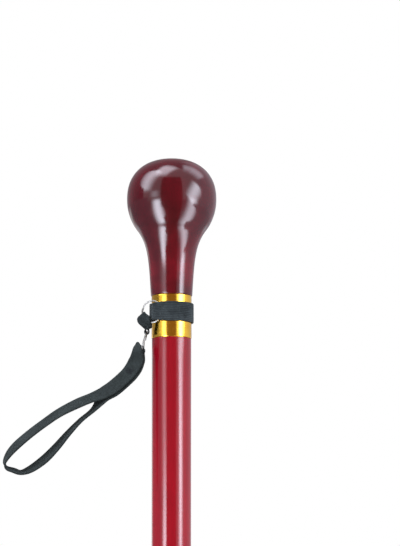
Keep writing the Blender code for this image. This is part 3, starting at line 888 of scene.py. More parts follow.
@dataclass
class KnobHandle:
    """Turned knob: crown, belly and the sweep to the neck, with its spigot in the collar."""

    cane: CaneSizes
    diameter: float = 48.0 * MM
    crown_height: float = 22.0 * MM
    crown_squareness: float = 2.3
    belly_height: float = 26.0 * MM
    belly_drop: float = 16.5 * MM
    belly_pull: float = 24.0 * MM
    neck_step: float = 0.4 * MM
    neck_flare: float = 0.06
    neck_edge: float = 0.4 * MM
    neck_pull: float = 54.0 * MM
    facets: int = 40
    sides: int = 160

    def profile(self) -> Outline:
        """Outline of the knob from its crown down and back into the screw's hole.

        Returns:
            Points of (radius, height).
        """
        radius, top = self.diameter / 2, self.cane.height
        widest = top - self.crown_height
        power = 2.0 / self.crown_squareness
        points = [(0.0, top)]
        for k in range(1, self.facets + 1):
            turn = math.pi / 2 * (1.0 - k / self.facets)
            out, up = math.cos(turn) ** power, math.sin(turn) ** power
            points.append((radius * out, widest + self.crown_height * up))
        last = math.asin(self.belly_drop / self.belly_height)
        for k in range(1, self.facets // 2 + 1):
            turn = last * k / (self.facets // 2)
            points.append((radius * math.cos(turn), widest - self.belly_height * math.sin(turn)))
        slope = Vector((-radius * math.sin(last), -self.belly_height * math.cos(last)))
        slope *= self.belly_pull / abs(slope.y)
        neck_radius = self.cane.collar_radius + self.neck_step
        seat = self.cane.collar_top + self.cane.hairline
        belly, neck = Vector(points[-1]), Vector((neck_radius, seat + self.neck_edge))
        flare = Vector((-self.neck_flare, -1.0)) * self.neck_pull
        ways = [k / self.facets for k in range(1, self.facets + 1)]
        points += [tuple(hermite(belly, slope, neck, flare, way)) for way in ways]
        points += quarter_round(neck_radius, seat, -1, self.neck_edge)[1:]
        return points + self.cane.spigot(seat, 1)

    def build(self) -> None:
        """Turn the knob and lacquer it."""
        finish = Lacquer(
            "knob_lacquer",
            deep=tint(60, 4, 16),
            bright=tint(134, 10, 31),
            mottle=0.6,
            rise=(0.832, 0.853),
            fall=(0.848, 0.878),
            fallen=0.30,
        )
        piece = add_piece("turned_knob", turned_body(self.profile(), self.sides), finish)
        mount(piece, "cane", "knob_lacquer", "knob_handle")


@dataclass
class Stick:
    """Straight tapered stick with the spigot that goes up into the collar."""

    cane: CaneSizes
    foot_chamfer: float = 1.0 * MM
    shoulder_edge: float = 0.3 * MM
    sides: int = 128
    rings: int = 60

    def profile(self) -> Outline:
        """Outline of the stick from its foot up, over the spigot and down the screw's hole.

        Returns:
            Points of (radius, height).
        """
        foot, top = self.cane.stick_foot / 2, self.cane.stick_top / 2
        base, shoulder = self.cane.stick_base, self.cane.collar_bottom - self.cane.hairline
        start, end = base + self.foot_chamfer, shoulder - self.shoulder_edge
        points = [(0.0, base), (foot - self.foot_chamfer, base), (foot, start)]
        for k in range(1, self.rings):
            share = k / self.rings
            points.append((foot + (top - foot) * share, start + (end - start) * share))
        points += quarter_round(top, shoulder, 1, self.shoulder_edge)
        return points + self.cane.spigot(shoulder, -1)

    def build(self) -> None:
        """Turn the stick and lacquer it."""
        finish = Lacquer(
            "stick_lacquer",
            deep=tint(96, 6, 20),
            bright=tint(168, 10, 33),
            mottle=0.12,
            rise=(0.05, 0.26),
            fall=(0.74, 0.83),
            fallen=0.75,
        )
        piece = add_piece("lacquered_stick", turned_body(self.profile(), self.sides), finish)
        mount(piece, "cane", "stick_lacquer", "shaft")


@dataclass
class Collar:
    """Thin gilt tube over the joint, with rolled ends."""

    cane: CaneSizes
    edge: float = 0.3 * MM
    rings: int = 12
    sides: int = 160

    def build(self) -> None:
        """Turn the tube and polish it."""
        radius, low, high = self.cane.collar_radius, self.cane.collar_bottom, self.cane.collar_top
        inner = radius - self.cane.collar_wall
        profile = [(inner, low)]
        profile += reversed(quarter_round(radius, low, -1, self.edge))
        profile += [(radius, low + (high - low) * k / self.rings) for k in range(1, self.rings)]
        profile += quarter_round(radius, high, 1, self.edge)
        profile.append((inner, high))
        finish = Gilt("polished_gilt", bright=tint(241, 194, 74), tarnished=tint(222, 154, 40))
        piece = add_piece("gilt_collar", turned_body(profile, self.sides), finish)
        mount(piece, "cane", "gilt", "collar")


@dataclass
class DowelScrew:
    """Double-ended wood screw with real threads, hidden in the joint."""

    cane: CaneSizes
    length: float = 60.0 * MM
    diameter: float = 8.0 * MM
    core: float = 6.4 * MM
    shank: float = 9.0 * MM
    shank_run: float = 0.8 * MM
    point: float = 7.0 * MM
    point_roundness: float = 0.8
    tip: float = 0.15 * MM
    pitch: float = 2.8 * MM
    thread_steepness: float = 2.6
    thread_run_out: float = 1.6
    sides: int = 28
    rings: int = 190

    def radius_at(self, height: float, turn: float) -> float:
        """Radius of the screw at a place on it.

        Args:
            height: Height from the screw's middle.
            turn: Share of a turn round it.

        Returns:
            The radius.
        """
        away = abs(height)
        taper = min(1.0, max(0.0, (self.length / 2 - away) / self.point))
        plain = ease((self.shank / 2 - away) / self.shank_run + 0.5)
        ridge = abs(((height / self.pitch - turn) % 1.0) * 2.0 - 1.0)
        thread = max(0.0, 1.0 - (1.0 - ridge) * self.thread_steepness)
        thread *= (self.diameter - self.core) / 2 * min(1.0, taper * self.thread_run_out)
        threaded = self.core / 2 * taper ** self.point_roundness + thread
        return max(self.tip, threaded + (self.diameter / 2 - threaded) * plain)

    def build(self) -> None:
        """Cut the threads and plate the screw."""
        rings = []
        for k in range(self.rings + 1):
            height = self.length * (k / self.rings - 0.5)
            ring = []
            for j in range(self.sides):
                turn = math.tau * j / self.sides
                radius = self.radius_at(height, j / self.sides)
                place = (radius * math.cos(turn), radius * math.sin(turn), self.cane.joint_height + height)
                ring.append(place)
            rings.append(ring)
        body = bmesh.new()
        add_tube(body, rings)
        finish = PlatedSteel("zinc_plate", ZINC, DULL_ZINC, rough=0.28)
        piece = add_piece("threaded_dowel_screw", body, finish, crease=30.0)
        mount(piece, "cane", "screw_steel", "dowel_screw")


@dataclass
class RubberFoot:
    """Rubber ferrule with a ringed tread, and the steel disc that keeps the stick off its sole."""

    cane: CaneSizes
    height: float = 44.0 * MM
    mouth_wall: float = 1.8 * MM
    mouth_lip: float = 6.0 * MM
    mouth_step: float = 1.0 * MM
    skirt_wall: float = 3.1 * MM
    bead_wall: float = 5.0 * MM
    bead_height: float = 4.4 * MM
    groove_wall: float = 3.0 * MM
    groove_height: float = 1.4 * MM
    groove_edge: float = 0.2 * MM
    pad_wall: float = 4.4 * MM
    pad_height: float = 10.6 * MM
    edge: float = 1.0 * MM
    tread_depth: float = 1.5 * MM
    tread_groove: float = 1.6 * MM
    tread_land: float = 2.2 * MM
    tread_centre: float = 5.0 * MM
    tread_edge: float = 0.15 * MM
    flash: float = 0.09 * MM
    flash_inset: float = 1.2 * MM
    flash_width: float = 0.3 * MM
    disc_edge: float = 0.2 * MM
    facets: int = 16
    sides: int = 120
    disc_sides: int = 64

    @property
    def bore(self) -> float:
        """Radius of the hole for the stick."""
        return self.cane.stick_foot / 2 + self.cane.seat_gap

    def profile(self) -> Outline:
        """Outline of the ferrule from the middle of its sole, up its outside and down its bore.

        Returns:
            Points of (radius, height).
        """
        walls = (self.pad_wall, self.groove_wall, self.bead_wall, self.skirt_wall, self.mouth_wall)
        pad, groove, bead, skirt, mouth = (self.bore + wall for wall in walls)
        points, land = [(0.0, 0.0)], self.tread_centre
        for _ in range(2):
            wide = land + self.tread_groove
            points += [(land - self.tread_edge, 0.0), (land, self.tread_edge), (land, self.tread_depth)]
            points += [(wide, self.tread_depth), (wide, self.tread_edge), (wide + self.tread_edge, 0.0)]
            land = wide + self.tread_land
        points += reversed(quarter_round(pad, 0.0, -1, self.edge, 8))
        points += quarter_round(pad, self.pad_height, 1, self.edge / 2)
        base = self.pad_height + self.groove_height
        points.append((groove + self.groove_edge, self.pad_height))
        points += [(groove, self.pad_height + self.groove_edge), (groove, base)]
        half = self.bead_height / 2
        for k in range(1, self.facets + 1):
            turn = math.pi * (k / self.facets - 0.5)
            inner = groove if turn < 0 else skirt
            points.append((inner + (bead - inner) * math.cos(turn), base + half + half * math.sin(turn)))
        foot, top = base + self.bead_height, self.height - self.edge / 2
        for share in (k / self.facets for k in range(1, self.facets)):
            points.append((skirt + (mouth - skirt) * share, foot + (top - foot) * share))
        points += quarter_round(mouth, self.height, 1, self.edge / 2)
        inner = self.bore - self.cane.seat_gap + self.cane.hairline
        lip = self.height - self.mouth_lip
        return points + [
            (inner + self.edge / 2, self.height),
            (inner, self.height - self.edge / 2),
            (inner, lip),
            (self.bore, lip - self.mouth_step),
            (self.bore, self.cane.foot_sole),
            (0.0, self.cane.foot_sole),
        ]

    def build(self) -> None:
        """Mould the ferrule, with its parting line, and lay the disc in it."""
        body = turned_body(self.profile(), self.sides)
        for vert in body.verts:
            reach = math.hypot(vert.co.x, vert.co.y)
            outside = reach > self.bore + self.flash_inset
            upright = self.edge < vert.co.z < self.height - self.edge
            if outside and upright and abs(vert.co.y) < self.flash_width:
                vert.co.x *= 1.0 + self.flash / reach
        finish = Rubber(
            "foot_rubber", fresh=tint(27, 34, 38), bloom=tint(45, 54, 59), scuffed=tint(98, 101, 99)
        )
        mount(add_piece("rubber_ferrule", body, finish, crease=32.0), "cane", "rubber", "ferrule")
        low, radius = self.cane.foot_sole + self.cane.seat_gap, self.bore - self.cane.seat_gap
        high, edge = low + self.cane.disc_thickness, self.disc_edge
        profile = [(0.0, low), (radius - edge, low), (radius, low + edge)]
        profile += [(radius, high - edge), (radius - edge, high), (0.0, high)]
        steel = PlatedSteel("disc_zinc_plate", ZINC, DULL_ZINC, rough=0.3, lines=(2000.0, 60.0, 60.0))
        disc = add_piece("steel_disc", turned_body(profile, self.disc_sides), steel)
        mount(disc, "cane", "washer_steel", "ferrule_washer")


@dataclass(frozen=True)
class RingFrame:
    """Place of a split ring: its centre, two directions in its plane and its axis."""

    centre: Vector
    along: Vector
    up: Vector
    axis: Vector


@dataclass(frozen=True)
class RingSizes:
    """Sizes of both split rings, and where each hangs. Bearings, jog and the strap's lean are in degrees."""

    cane: CaneSizes
    diameter: float = 12.4 * MM
    wire_depth: float = 0.7 * MM
    wire_width: float = 0.42 * MM
    turn_gap: float = 0.12 * MM
    jog: float = 34.0
    band_bearing: float = 64.0
    band_middle: float = 830.25 * MM
    tab_bearing: float = -40.0
    tab_lean: float = 1.2 * MM
    tab_drop: float = 6.7 * MM
    strap_lean: float = 14.5

    @property
    def radius(self) -> float:
        """Radius of the wire's middle line."""
        return (self.diameter - self.wire_depth) / 2

    @property
    def pitch(self) -> float:
        """Distance between the two turns."""
        return self.wire_width + self.turn_gap

    @property
    def half_width(self) -> float:
        """Half of the width of both turns."""
        return (self.pitch + self.wire_width) / 2

    @property
    def reach(self) -> float:
        """Distance from the middle line to the wire's far corner."""
        return math.hypot(self.wire_depth / 2, self.half_width)

    def band_ring(self) -> RingFrame:
        """Place of the band's ring, upright against the collar.

        Returns:
            The place.
        """
        bearing = math.radians(self.band_bearing)
        axis = Vector((-math.cos(bearing), -math.sin(bearing), 0.0))
        along = Vector((-math.sin(bearing), math.cos(bearing), 0.0))
        touch = axis * (self.cane.collar_radius + self.cane.seat_gap + self.half_width)
        return RingFrame(touch + along * self.radius + UP * self.band_middle, along, UP, axis)

    def strap_ring(self) -> RingFrame:
        """Place of the strap's ring, hung in the end of the tab.

        Returns:
            The place.
        """
        lean = math.radians(self.strap_lean)
        up = Vector((math.sin(lean), 0.0, math.cos(lean)))
        axis = Vector((-math.cos(lean), 0.0, math.sin(lean)))
        top = self.point(self.band_ring(), self.tab_bearing) + Vector((self.tab_lean, 0.0, -self.tab_drop))
        return RingFrame(top - up * self.radius, FAR, up, axis)

    def point(self, ring: RingFrame, bearing: float, out: float = 0.0, aside: float = 0.0) -> Vector:
        """A point near a ring's wire.

        Args:
            ring: The ring's place.
            bearing: Degrees round the ring.
            out: Distance out from the wire's middle line.
            aside: Distance along the ring's axis.

        Returns:
            The point.
        """
        turn = math.radians(bearing)
        spoke = ring.along * math.cos(turn) + ring.up * math.sin(turn)
        return ring.centre + spoke * (self.radius + out) + ring.axis * aside


@dataclass
class SplitRing:
    """Flat wire wound in two turns, with the step between them at the split."""

    name: str
    sizes: RingSizes
    place: RingFrame
    split: float
    body: str
    roundness: Span = (0.55, 0.6)
    tip_share: float = 0.8
    facets: int = 16
    steps: int = 84

    def outline(self) -> Outline:
        """Section of the wire with rounded corners.

        Returns:
            Points of (out, aside).
        """
        halves = (self.sizes.wire_depth / 2, self.sizes.wire_width / 2)
        points = []
        for k in range(self.facets):
            turn = math.tau * (k + 0.5) / self.facets
            sides = zip(halves, (math.cos(turn), math.sin(turn)), self.roundness)
            points.append(tuple(half * math.copysign(abs(v) ** power, v) for half, v, power in sides))
        return points

    def build(self) -> None:
        """Wind the wire and plate it."""
        half = math.radians(self.sizes.jog) / 2
        turn = (math.tau - half) / self.steps
        outline, rings = self.outline(), []
        for k in range(2 * self.steps + 1):
            wound = half + turn * k
            level = self.sizes.pitch * (ease((wound - math.tau + half) / (2 * half)) - 0.5)
            bearing = self.split + math.degrees(wound)
            tip = self.tip_share if k in (0, 2 * self.steps) else 1.0
            places = [(out * tip, level + aside * tip) for out, aside in outline]
            rings.append([self.sizes.point(self.place, bearing, *place) for place in places])
        body = bmesh.new()
        add_tube(body, rings)
        finish = PlatedSteel(self.name + "_nickel", tint(128, 126, 122), tint(84, 82, 78), rough=0.24)
        mount(add_piece(self.name, body, finish), self.body, self.body + "_wire", self.body)


@dataclass
class ElasticBand:
    """Ribbed elastic round the collar, squeezed through its ring and sewn into a loop at the back."""

    cane: CaneSizes
    rings: RingSizes
    width: float = 10.5 * MM
    thickness: float = 0.9 * MM
    slack: float = 0.9
    lap: float = 9.0 * MM
    lap_step: float = 0.5 * MM
    hold: float = 2.4 * MM
    release: float = 9.0 * MM
    ride: float = 2.2 * MM
    collar_gap: float = 0.05 * MM
    settle: float = 5.0 * MM
    ribs: int = 11
    rib_height: float = 0.09 * MM
    rib_facets: int = 6
    face_squareness: float = 18.0
    lining_facets: int = 16
    lining_squareness: float = 10.0
    lining_taper: float = 0.02
    step: float = 0.45 * MM
    stitch_rows: float = 0.3
    stitch_count: int = 6
    stitch_pitch: float = 1.5 * MM
    stitch_inset: float = 0.15 * MM

    def path(self) -> list[tuple[Vector, Vector]]:
        """Taut path of the elastic round the collar and the ring's wire.

        Returns:
            Pairs of (point, outward normal) at small steps.
        """
        ring = self.rings.band_ring()
        lift = self.rings.half_width + self.cane.seat_gap + self.thickness / 2
        wire = ring.centre - ring.along * self.rings.radius
        rest = ring.centre - ring.along * self.ride
        around = self.cane.collar_radius + self.cane.seat_gap + self.thickness / 2
        pulleys = [(0.0, 0.0, around), (rest.x, rest.y, lift), (wire.x, wire.y, lift)]
        normals = []
        for (x0, y0, r0), (x1, y1, r1) in zip(pulleys, pulleys[1:] + pulleys[:1]):
            heading = math.atan2(y1 - y0, x1 - x0)
            normals.append(heading - math.acos((r0 - r1) / math.hypot(x1 - x0, y1 - y0)))
        path = []
        for k, (x, y, radius) in enumerate(pulleys):
            start, turn = normals[k - 1], (normals[k] - normals[k - 1]) % math.tau
            steps = max(3, math.ceil(radius * turn / self.step))
            for j in range(steps + 1):
                bearing = start + turn * j / steps
                outward = Vector((math.cos(bearing), math.sin(bearing), 0.0))
                path.append((Vector((x, y, 0.0)) + outward * radius, outward))
        fine = []
        for (here, normal), (there, _) in zip(path, path[1:] + path[:1]):
            parts = max(1, math.ceil((there - here).length / self.step))
            fine += [(here.lerp(there, k / parts), normal) for k in range(parts)]
        return fine

    def crossing(self, path: list[tuple[Vector, Vector]], marks: list[float]) -> float:
        """Find where the path goes through its ring.

        Args:
            path: The elastic's path.
            marks: Distance along it of each point.

        Returns:
            Distance along the path.
        """
        ring = self.rings.band_ring()
        sides = [(point + UP * self.rings.band_middle - ring.centre).dot(ring.axis) for point, _ in path]
        for k in range(1, len(path)):
            inside = (path[k][0] - ring.centre).to_2d().length < self.rings.radius
            if inside and sides[k - 1] < 0.0 <= sides[k]:
                return marks[k]
        return marks[0]

    def section(
        self, point: Vector, normal: Vector, mark: float, height: float, lining: float, face: float
    ) -> Section:
        """One cross-section of the elastic: plain inside, ribbed outside, with rounded selvedges.

        Args:
            point: Place of the path, at the height of the row's floor.
            normal: Outward direction.
            mark: Distance along the path.
            height: Width of the elastic here.
            lining: Distance of the inside from the path.
            face: Distance of the outside from the path.

        Returns:
            The cross-section.
        """
        middle, half = (face - lining) / 2, (face + lining) / 2
        places = []
        fine = self.ribs * self.rib_facets
        for share in (k / fine - 0.5 for k in range(fine + 1)):
            rib = self.rib_height * (0.5 - 0.5 * math.cos(math.tau * self.ribs * (share + 0.5)))
            depth = middle + (half - self.rib_height + rib) * selvedge(share, self.face_squareness)
            places.append((share, depth, share * height))
        taper = 1.0 - self.lining_taper * (1.0 - height / self.width)
        for share in (0.5 - k / self.lining_facets for k in range(1, self.lining_facets)):
            depth = middle - half * selvedge(share, self.lining_squareness)
            places.append((share, depth, share * height * taper))
        points = [point + normal * depth + UP * (self.rings.band_middle + up) for _, depth, up in places]
        return Section(points, [(share * self.width / MM, mark / MM) for share, _, _ in places])

    def build(self) -> None:
        """Lay the elastic round the collar and sew its lap."""
        path = self.path()
        marks = [0.0]
        for (here, _), (there, _) in zip(path, path[1:]):
            marks.append(marks[-1] + (there - here).length)
        total = marks[-1] + (path[0][0] - path[-1][0]).length
        through = self.crossing(path, marks)
        inner_radius = self.rings.diameter / 2 - self.rings.wire_depth
        opening = 2.0 * (math.sqrt(inner_radius ** 2 - self.ride ** 2) - self.cane.seat_gap)
        squeezed = min(self.width, opening)
        back = max(range(len(path)), key=lambda k: path[k][0].y)
        sections = []
        for (point, normal), mark in zip(path, marks):
            away = min(abs(mark - through), total - abs(mark - through))
            released = ease((away - self.hold) / (self.release - self.hold))
            height = squeezed + (self.width - squeezed) * released
            doubled = ease((self.lap / 2 - abs(mark - marks[back])) / self.lap_step + 0.5)
            hug = (self.cane.seat_gap - self.collar_gap) * ease((away - self.release) / self.settle)
            lining, face = self.thickness / 2 + hug, self.thickness / 2 + self.thickness * doubled
            sections.append(self.section(point, normal, mark, height, lining, face))
        finish = Webbing("ribbed_elastic", Weave.ELASTIC, tint(30, 35, 37), tint(86, 94, 97), self.width)
        piece = add_piece("ribbed_elastic_band", closed_strip(sections, total), finish, crease=60.0)
        mount(piece, "elastic_band", "elastic", "elastic_band")
        self.sew(path, marks, back)

    def sew(self, path: list[tuple[Vector, Vector]], marks: list[float], back: int) -> None:
        """Sew the lap with two upright rows of stitches.

        Args:
            path: The elastic's path.
            marks: Distance along it of each point.
            back: Index of the lap's middle.
        """
        stitches = Stitches("lap_stitches", "lap_thread", radius=0.16 * MM, rise=0.2 * MM)
        for side in (-1, 1):
            mark = marks[back] + side * self.lap * self.stitch_rows
            point, normal = path[min(range(len(path)), key=lambda i: abs(marks[i] - mark))]
            face = point + normal * (self.thickness / 2 + self.thickness)
            lowest = self.rings.band_middle - self.stitch_count / 2 * self.stitch_pitch
            for j in range(self.stitch_count):
                low = face + UP * (lowest + j * self.stitch_pitch + self.stitch_inset)
                stitches.add(low, low + UP * (self.stitch_pitch - 2.0 * self.stitch_inset), normal)
        mount(stitches.build(), "elastic_band", "elastic")


@dataclass
class LinkTab:
    """Short loop of webbing through both rings: creased inside the upper one, gathered round the lower one.

    The upper part lies on both sides of the upper ring's plane. Its corners are given there as (share of the
    way down, millimetres away from the cane, millimetres up), the last two from the ring's centre.
    """

    rings: RingSizes
    thickness: float = 0.7 * MM
    width: float = 6.9 * MM
    end_width: float = 3.4 * MM
    layer_gap: float = 0.1 * MM
    wire_gap: float = 0.06 * MM
    lower_gap: float = 0.16 * MM
    hug_length: float = 2.3 * MM
    wire_near: float = 0.5 * MM
    wire_far: float = 1.7 * MM
    gather: Span = (0.42, 1.0)
    left_edge: tuple[Triple, ...] = (
        (0.0, 5.3, -0.6), (0.22, 8.2, -2.2), (0.34, 8.9, -3.5), (0.44, 8.6, -4.9), (1.0, 4.9, -11.1),
    )
    right_edge: tuple[Triple, ...] = (
        (0.0, 1.2, -3.3), (0.34, 0.1, -7.5), (0.44, 0.1, -8.4), (1.0, 2.7, -11.1),
    )
    crest: Span = (-0.53, 0.85)
    bend_from: float = 6.6 * MM
    bend_to: float = 10.4 * MM
    probe: float = 0.02
    fold_steps: int = 12
    side_steps: int = 32
    tack_threads: int = 5
    tack_start: float = 0.6
    tack_pitch: float = 0.036
    tack_reach: float = 0.2
    tack_lift: float = 0.02 * MM

    def corner(self, edge: tuple[Triple, ...], down: float) -> Vector:
        """Place on an edge, in the upper ring's plane.

        Args:
            edge: The edge's corners.
            down: Share of the way down.

        Returns:
            The place, from the ring's centre.
        """
        for (share, *here), (end, *there) in zip(edge, edge[1:]):
            if down <= end:
                return Vector(here).lerp(Vector(there), (down - share) / (end - share)) * MM
        return Vector(edge[-1][1:]) * MM

    def flat_place(self, down: float, share: float) -> Vector:
        """Place in the upper ring's plane at a share of the way down and of the width."""
        return self.corner(self.right_edge, down).lerp(self.corner(self.left_edge, down), share + 0.5)

    def lift(self, place: Vector) -> float:
        """Distance of a layer's middle from the ring's plane, which grows over the wire between the layers.

        Args:
            place: Place in that plane.

        Returns:
            The distance.
        """
        near = abs(place.length - self.rings.radius)
        over = ease((self.wire_far - near) / (self.wire_far - self.wire_near))
        inside = self.layer_gap / 2 + (self.rings.half_width + self.wire_gap - self.layer_gap / 2) * over
        return inside + self.thickness / 2

    def upper(self, place: Vector, aside: float) -> Vector:
        """Place in the row frame of a point near the upper ring's plane."""
        ring = self.rings.band_ring()
        return ring.centre + ring.along * place.x + ring.up * place.y + ring.axis * aside

    def lower(self, share: float, out: float, aside: float = 0.0) -> Vector:
        """Place in the row frame near the top of the lower ring, by share of the gathered end's width."""
        bearing = 90.0 - math.degrees(share * self.end_width / self.rings.radius)
        return self.rings.point(self.rings.strap_ring(), bearing, out, aside)

    @property
    def length(self) -> float:
        """Distance from the middle of the crease to the lower ring's wire."""
        return abs(self.left_edge[-1][2] * MM - self.flat_place(0.0, 0.0).y)

    @property
    def fold_radius(self) -> float:
        """Radius of the webbing's middle where it turns round the lower wire."""
        return self.rings.reach + self.lower_gap + self.thickness / 2

    @property
    def bend(self) -> Bend:
        """Two points below the upper wire, on the line down from the crease that lies in the upper ring;
        mount takes them as the tab's bend.

        Returns:
            The two points, with the upper ring's body name.
        """
        down = -Vector(self.crest)
        start, end = (self.upper(down * reach, 0.0) for reach in (self.bend_from, self.bend_to))
        return Bend("band_ring", start, end)

    def gathered(self, down: float) -> float:
        """How far the tab has turned from the upper ring's plane to the lower ring's, from 0 to 1."""
        return ease((down - self.gather[0]) / (self.gather[1] - self.gather[0]))

    def between(self, down: float, share: float) -> Vector:
        """Place between both layers at a share of the way down and of the width."""
        below = self.lower(share, (1.0 - down) * self.length)
        return self.upper(self.flat_place(down, share), 0.0).lerp(below, self.gathered(down))

    def on_layer(self, down: float, side: float, share: float) -> Vector:
        """Place on one layer of the tab, off the middle surface along its own normal.

        Args:
            down: Share of the way from the crease to the lower wire.
            side: 1 towards the viewer, -1 towards the cane.
            share: Share of the width.

        Returns:
            The place.
        """
        hug = ease(1.0 - (1.0 - down) * self.length / self.hug_length)
        flat = (self.layer_gap + self.thickness) / 2
        low = flat + (self.fold_radius - flat) * hug
        axis = self.rings.band_ring().axis.lerp(self.rings.strap_ring().axis, self.gathered(down))
        across = self.between(down, share + self.probe) - self.between(down, share - self.probe)
        along = self.between(down + self.probe, share) - self.between(down - self.probe, share)
        out = across.cross(along).normalized()
        out *= side * math.copysign(1.0, out.dot(axis))
        lift = self.lift(self.flat_place(down, share))
        return self.between(down, share) + out * (lift + (low - lift) * self.gathered(down))

    def on_crease(self, turn: float, share: float) -> Vector:
        """Place on the crease inside the upper ring.

        Args:
            turn: Angle round the crease, 0 at its crest.
            share: Share of the width.

        Returns:
            The place.
        """
        place = self.flat_place(0.0, share)
        radius = self.lift(place)
        return self.upper(place + Vector(self.crest) * radius * math.cos(turn), radius * math.sin(turn))

    def on_fold(self, turn: float, share: float) -> Vector:
        """Place on the fold round the lower wire, at an angle that is 0 at its lowest line."""
        return self.lower(share, -self.fold_radius * math.cos(turn), self.fold_radius * math.sin(turn))

    def build(self) -> None:
        """Fold the tab through both rings and tack it."""
        turns = [math.pi * (k / self.fold_steps - 0.5) for k in range(1, self.fold_steps)]
        shares = [k / self.side_steps for k in range(self.side_steps + 1)]
        rows = [partial(self.on_crease, turn) for turn in turns]
        rows += [partial(self.on_layer, share, 1.0) for share in shares]
        rows += [partial(self.on_fold, turn) for turn in reversed(turns)]
        rows += [partial(self.on_layer, share, -1.0) for share in reversed(shares)]
        body, _ = woven_strip(rows, webbing_outline(self.thickness), self.width)
        finish = Webbing("tab_webbing", Weave.TWILL, tint(26, 31, 32), tint(60, 67, 69), self.width)
        piece = add_piece("webbing_link_tab", body, finish, crease=70.0)
        mount(piece, "link_tab", "tab_webbing", "link_tab", bend=self.bend)
        self.tack()

    def tack(self) -> None:
        """Sew both layers together across the lower part of the tab."""
        stitches = Stitches("tab_tack", "tab_thread", radius=0.14 * MM, rise=0.1 * MM)
        for side in (-1.0, 1.0):
            for k in range(self.tack_threads):
                row = partial(self.on_layer, self.tack_start + k * self.tack_pitch, side)
                near, far = row(-self.tack_reach), row(self.tack_reach)
                out = (far - near).cross(UP).normalized()
                out *= math.copysign(1.0, out.dot(self.rings.band_ring().axis) * side)
                lift = out * (self.thickness / 2 + self.tack_lift)
                stitches.add(near + lift, far + lift, out)
        mount(stitches.build(), "link_tab", "tab_webbing", bend=self.bend)


@dataclass(frozen=True)
class Station:
    """One place along the strap's loop.

    Place holds x, z, tilt in degrees and distance aside. Run is the strap's direction in the x-z plane.
    """

    place: Vector
    run: Vector


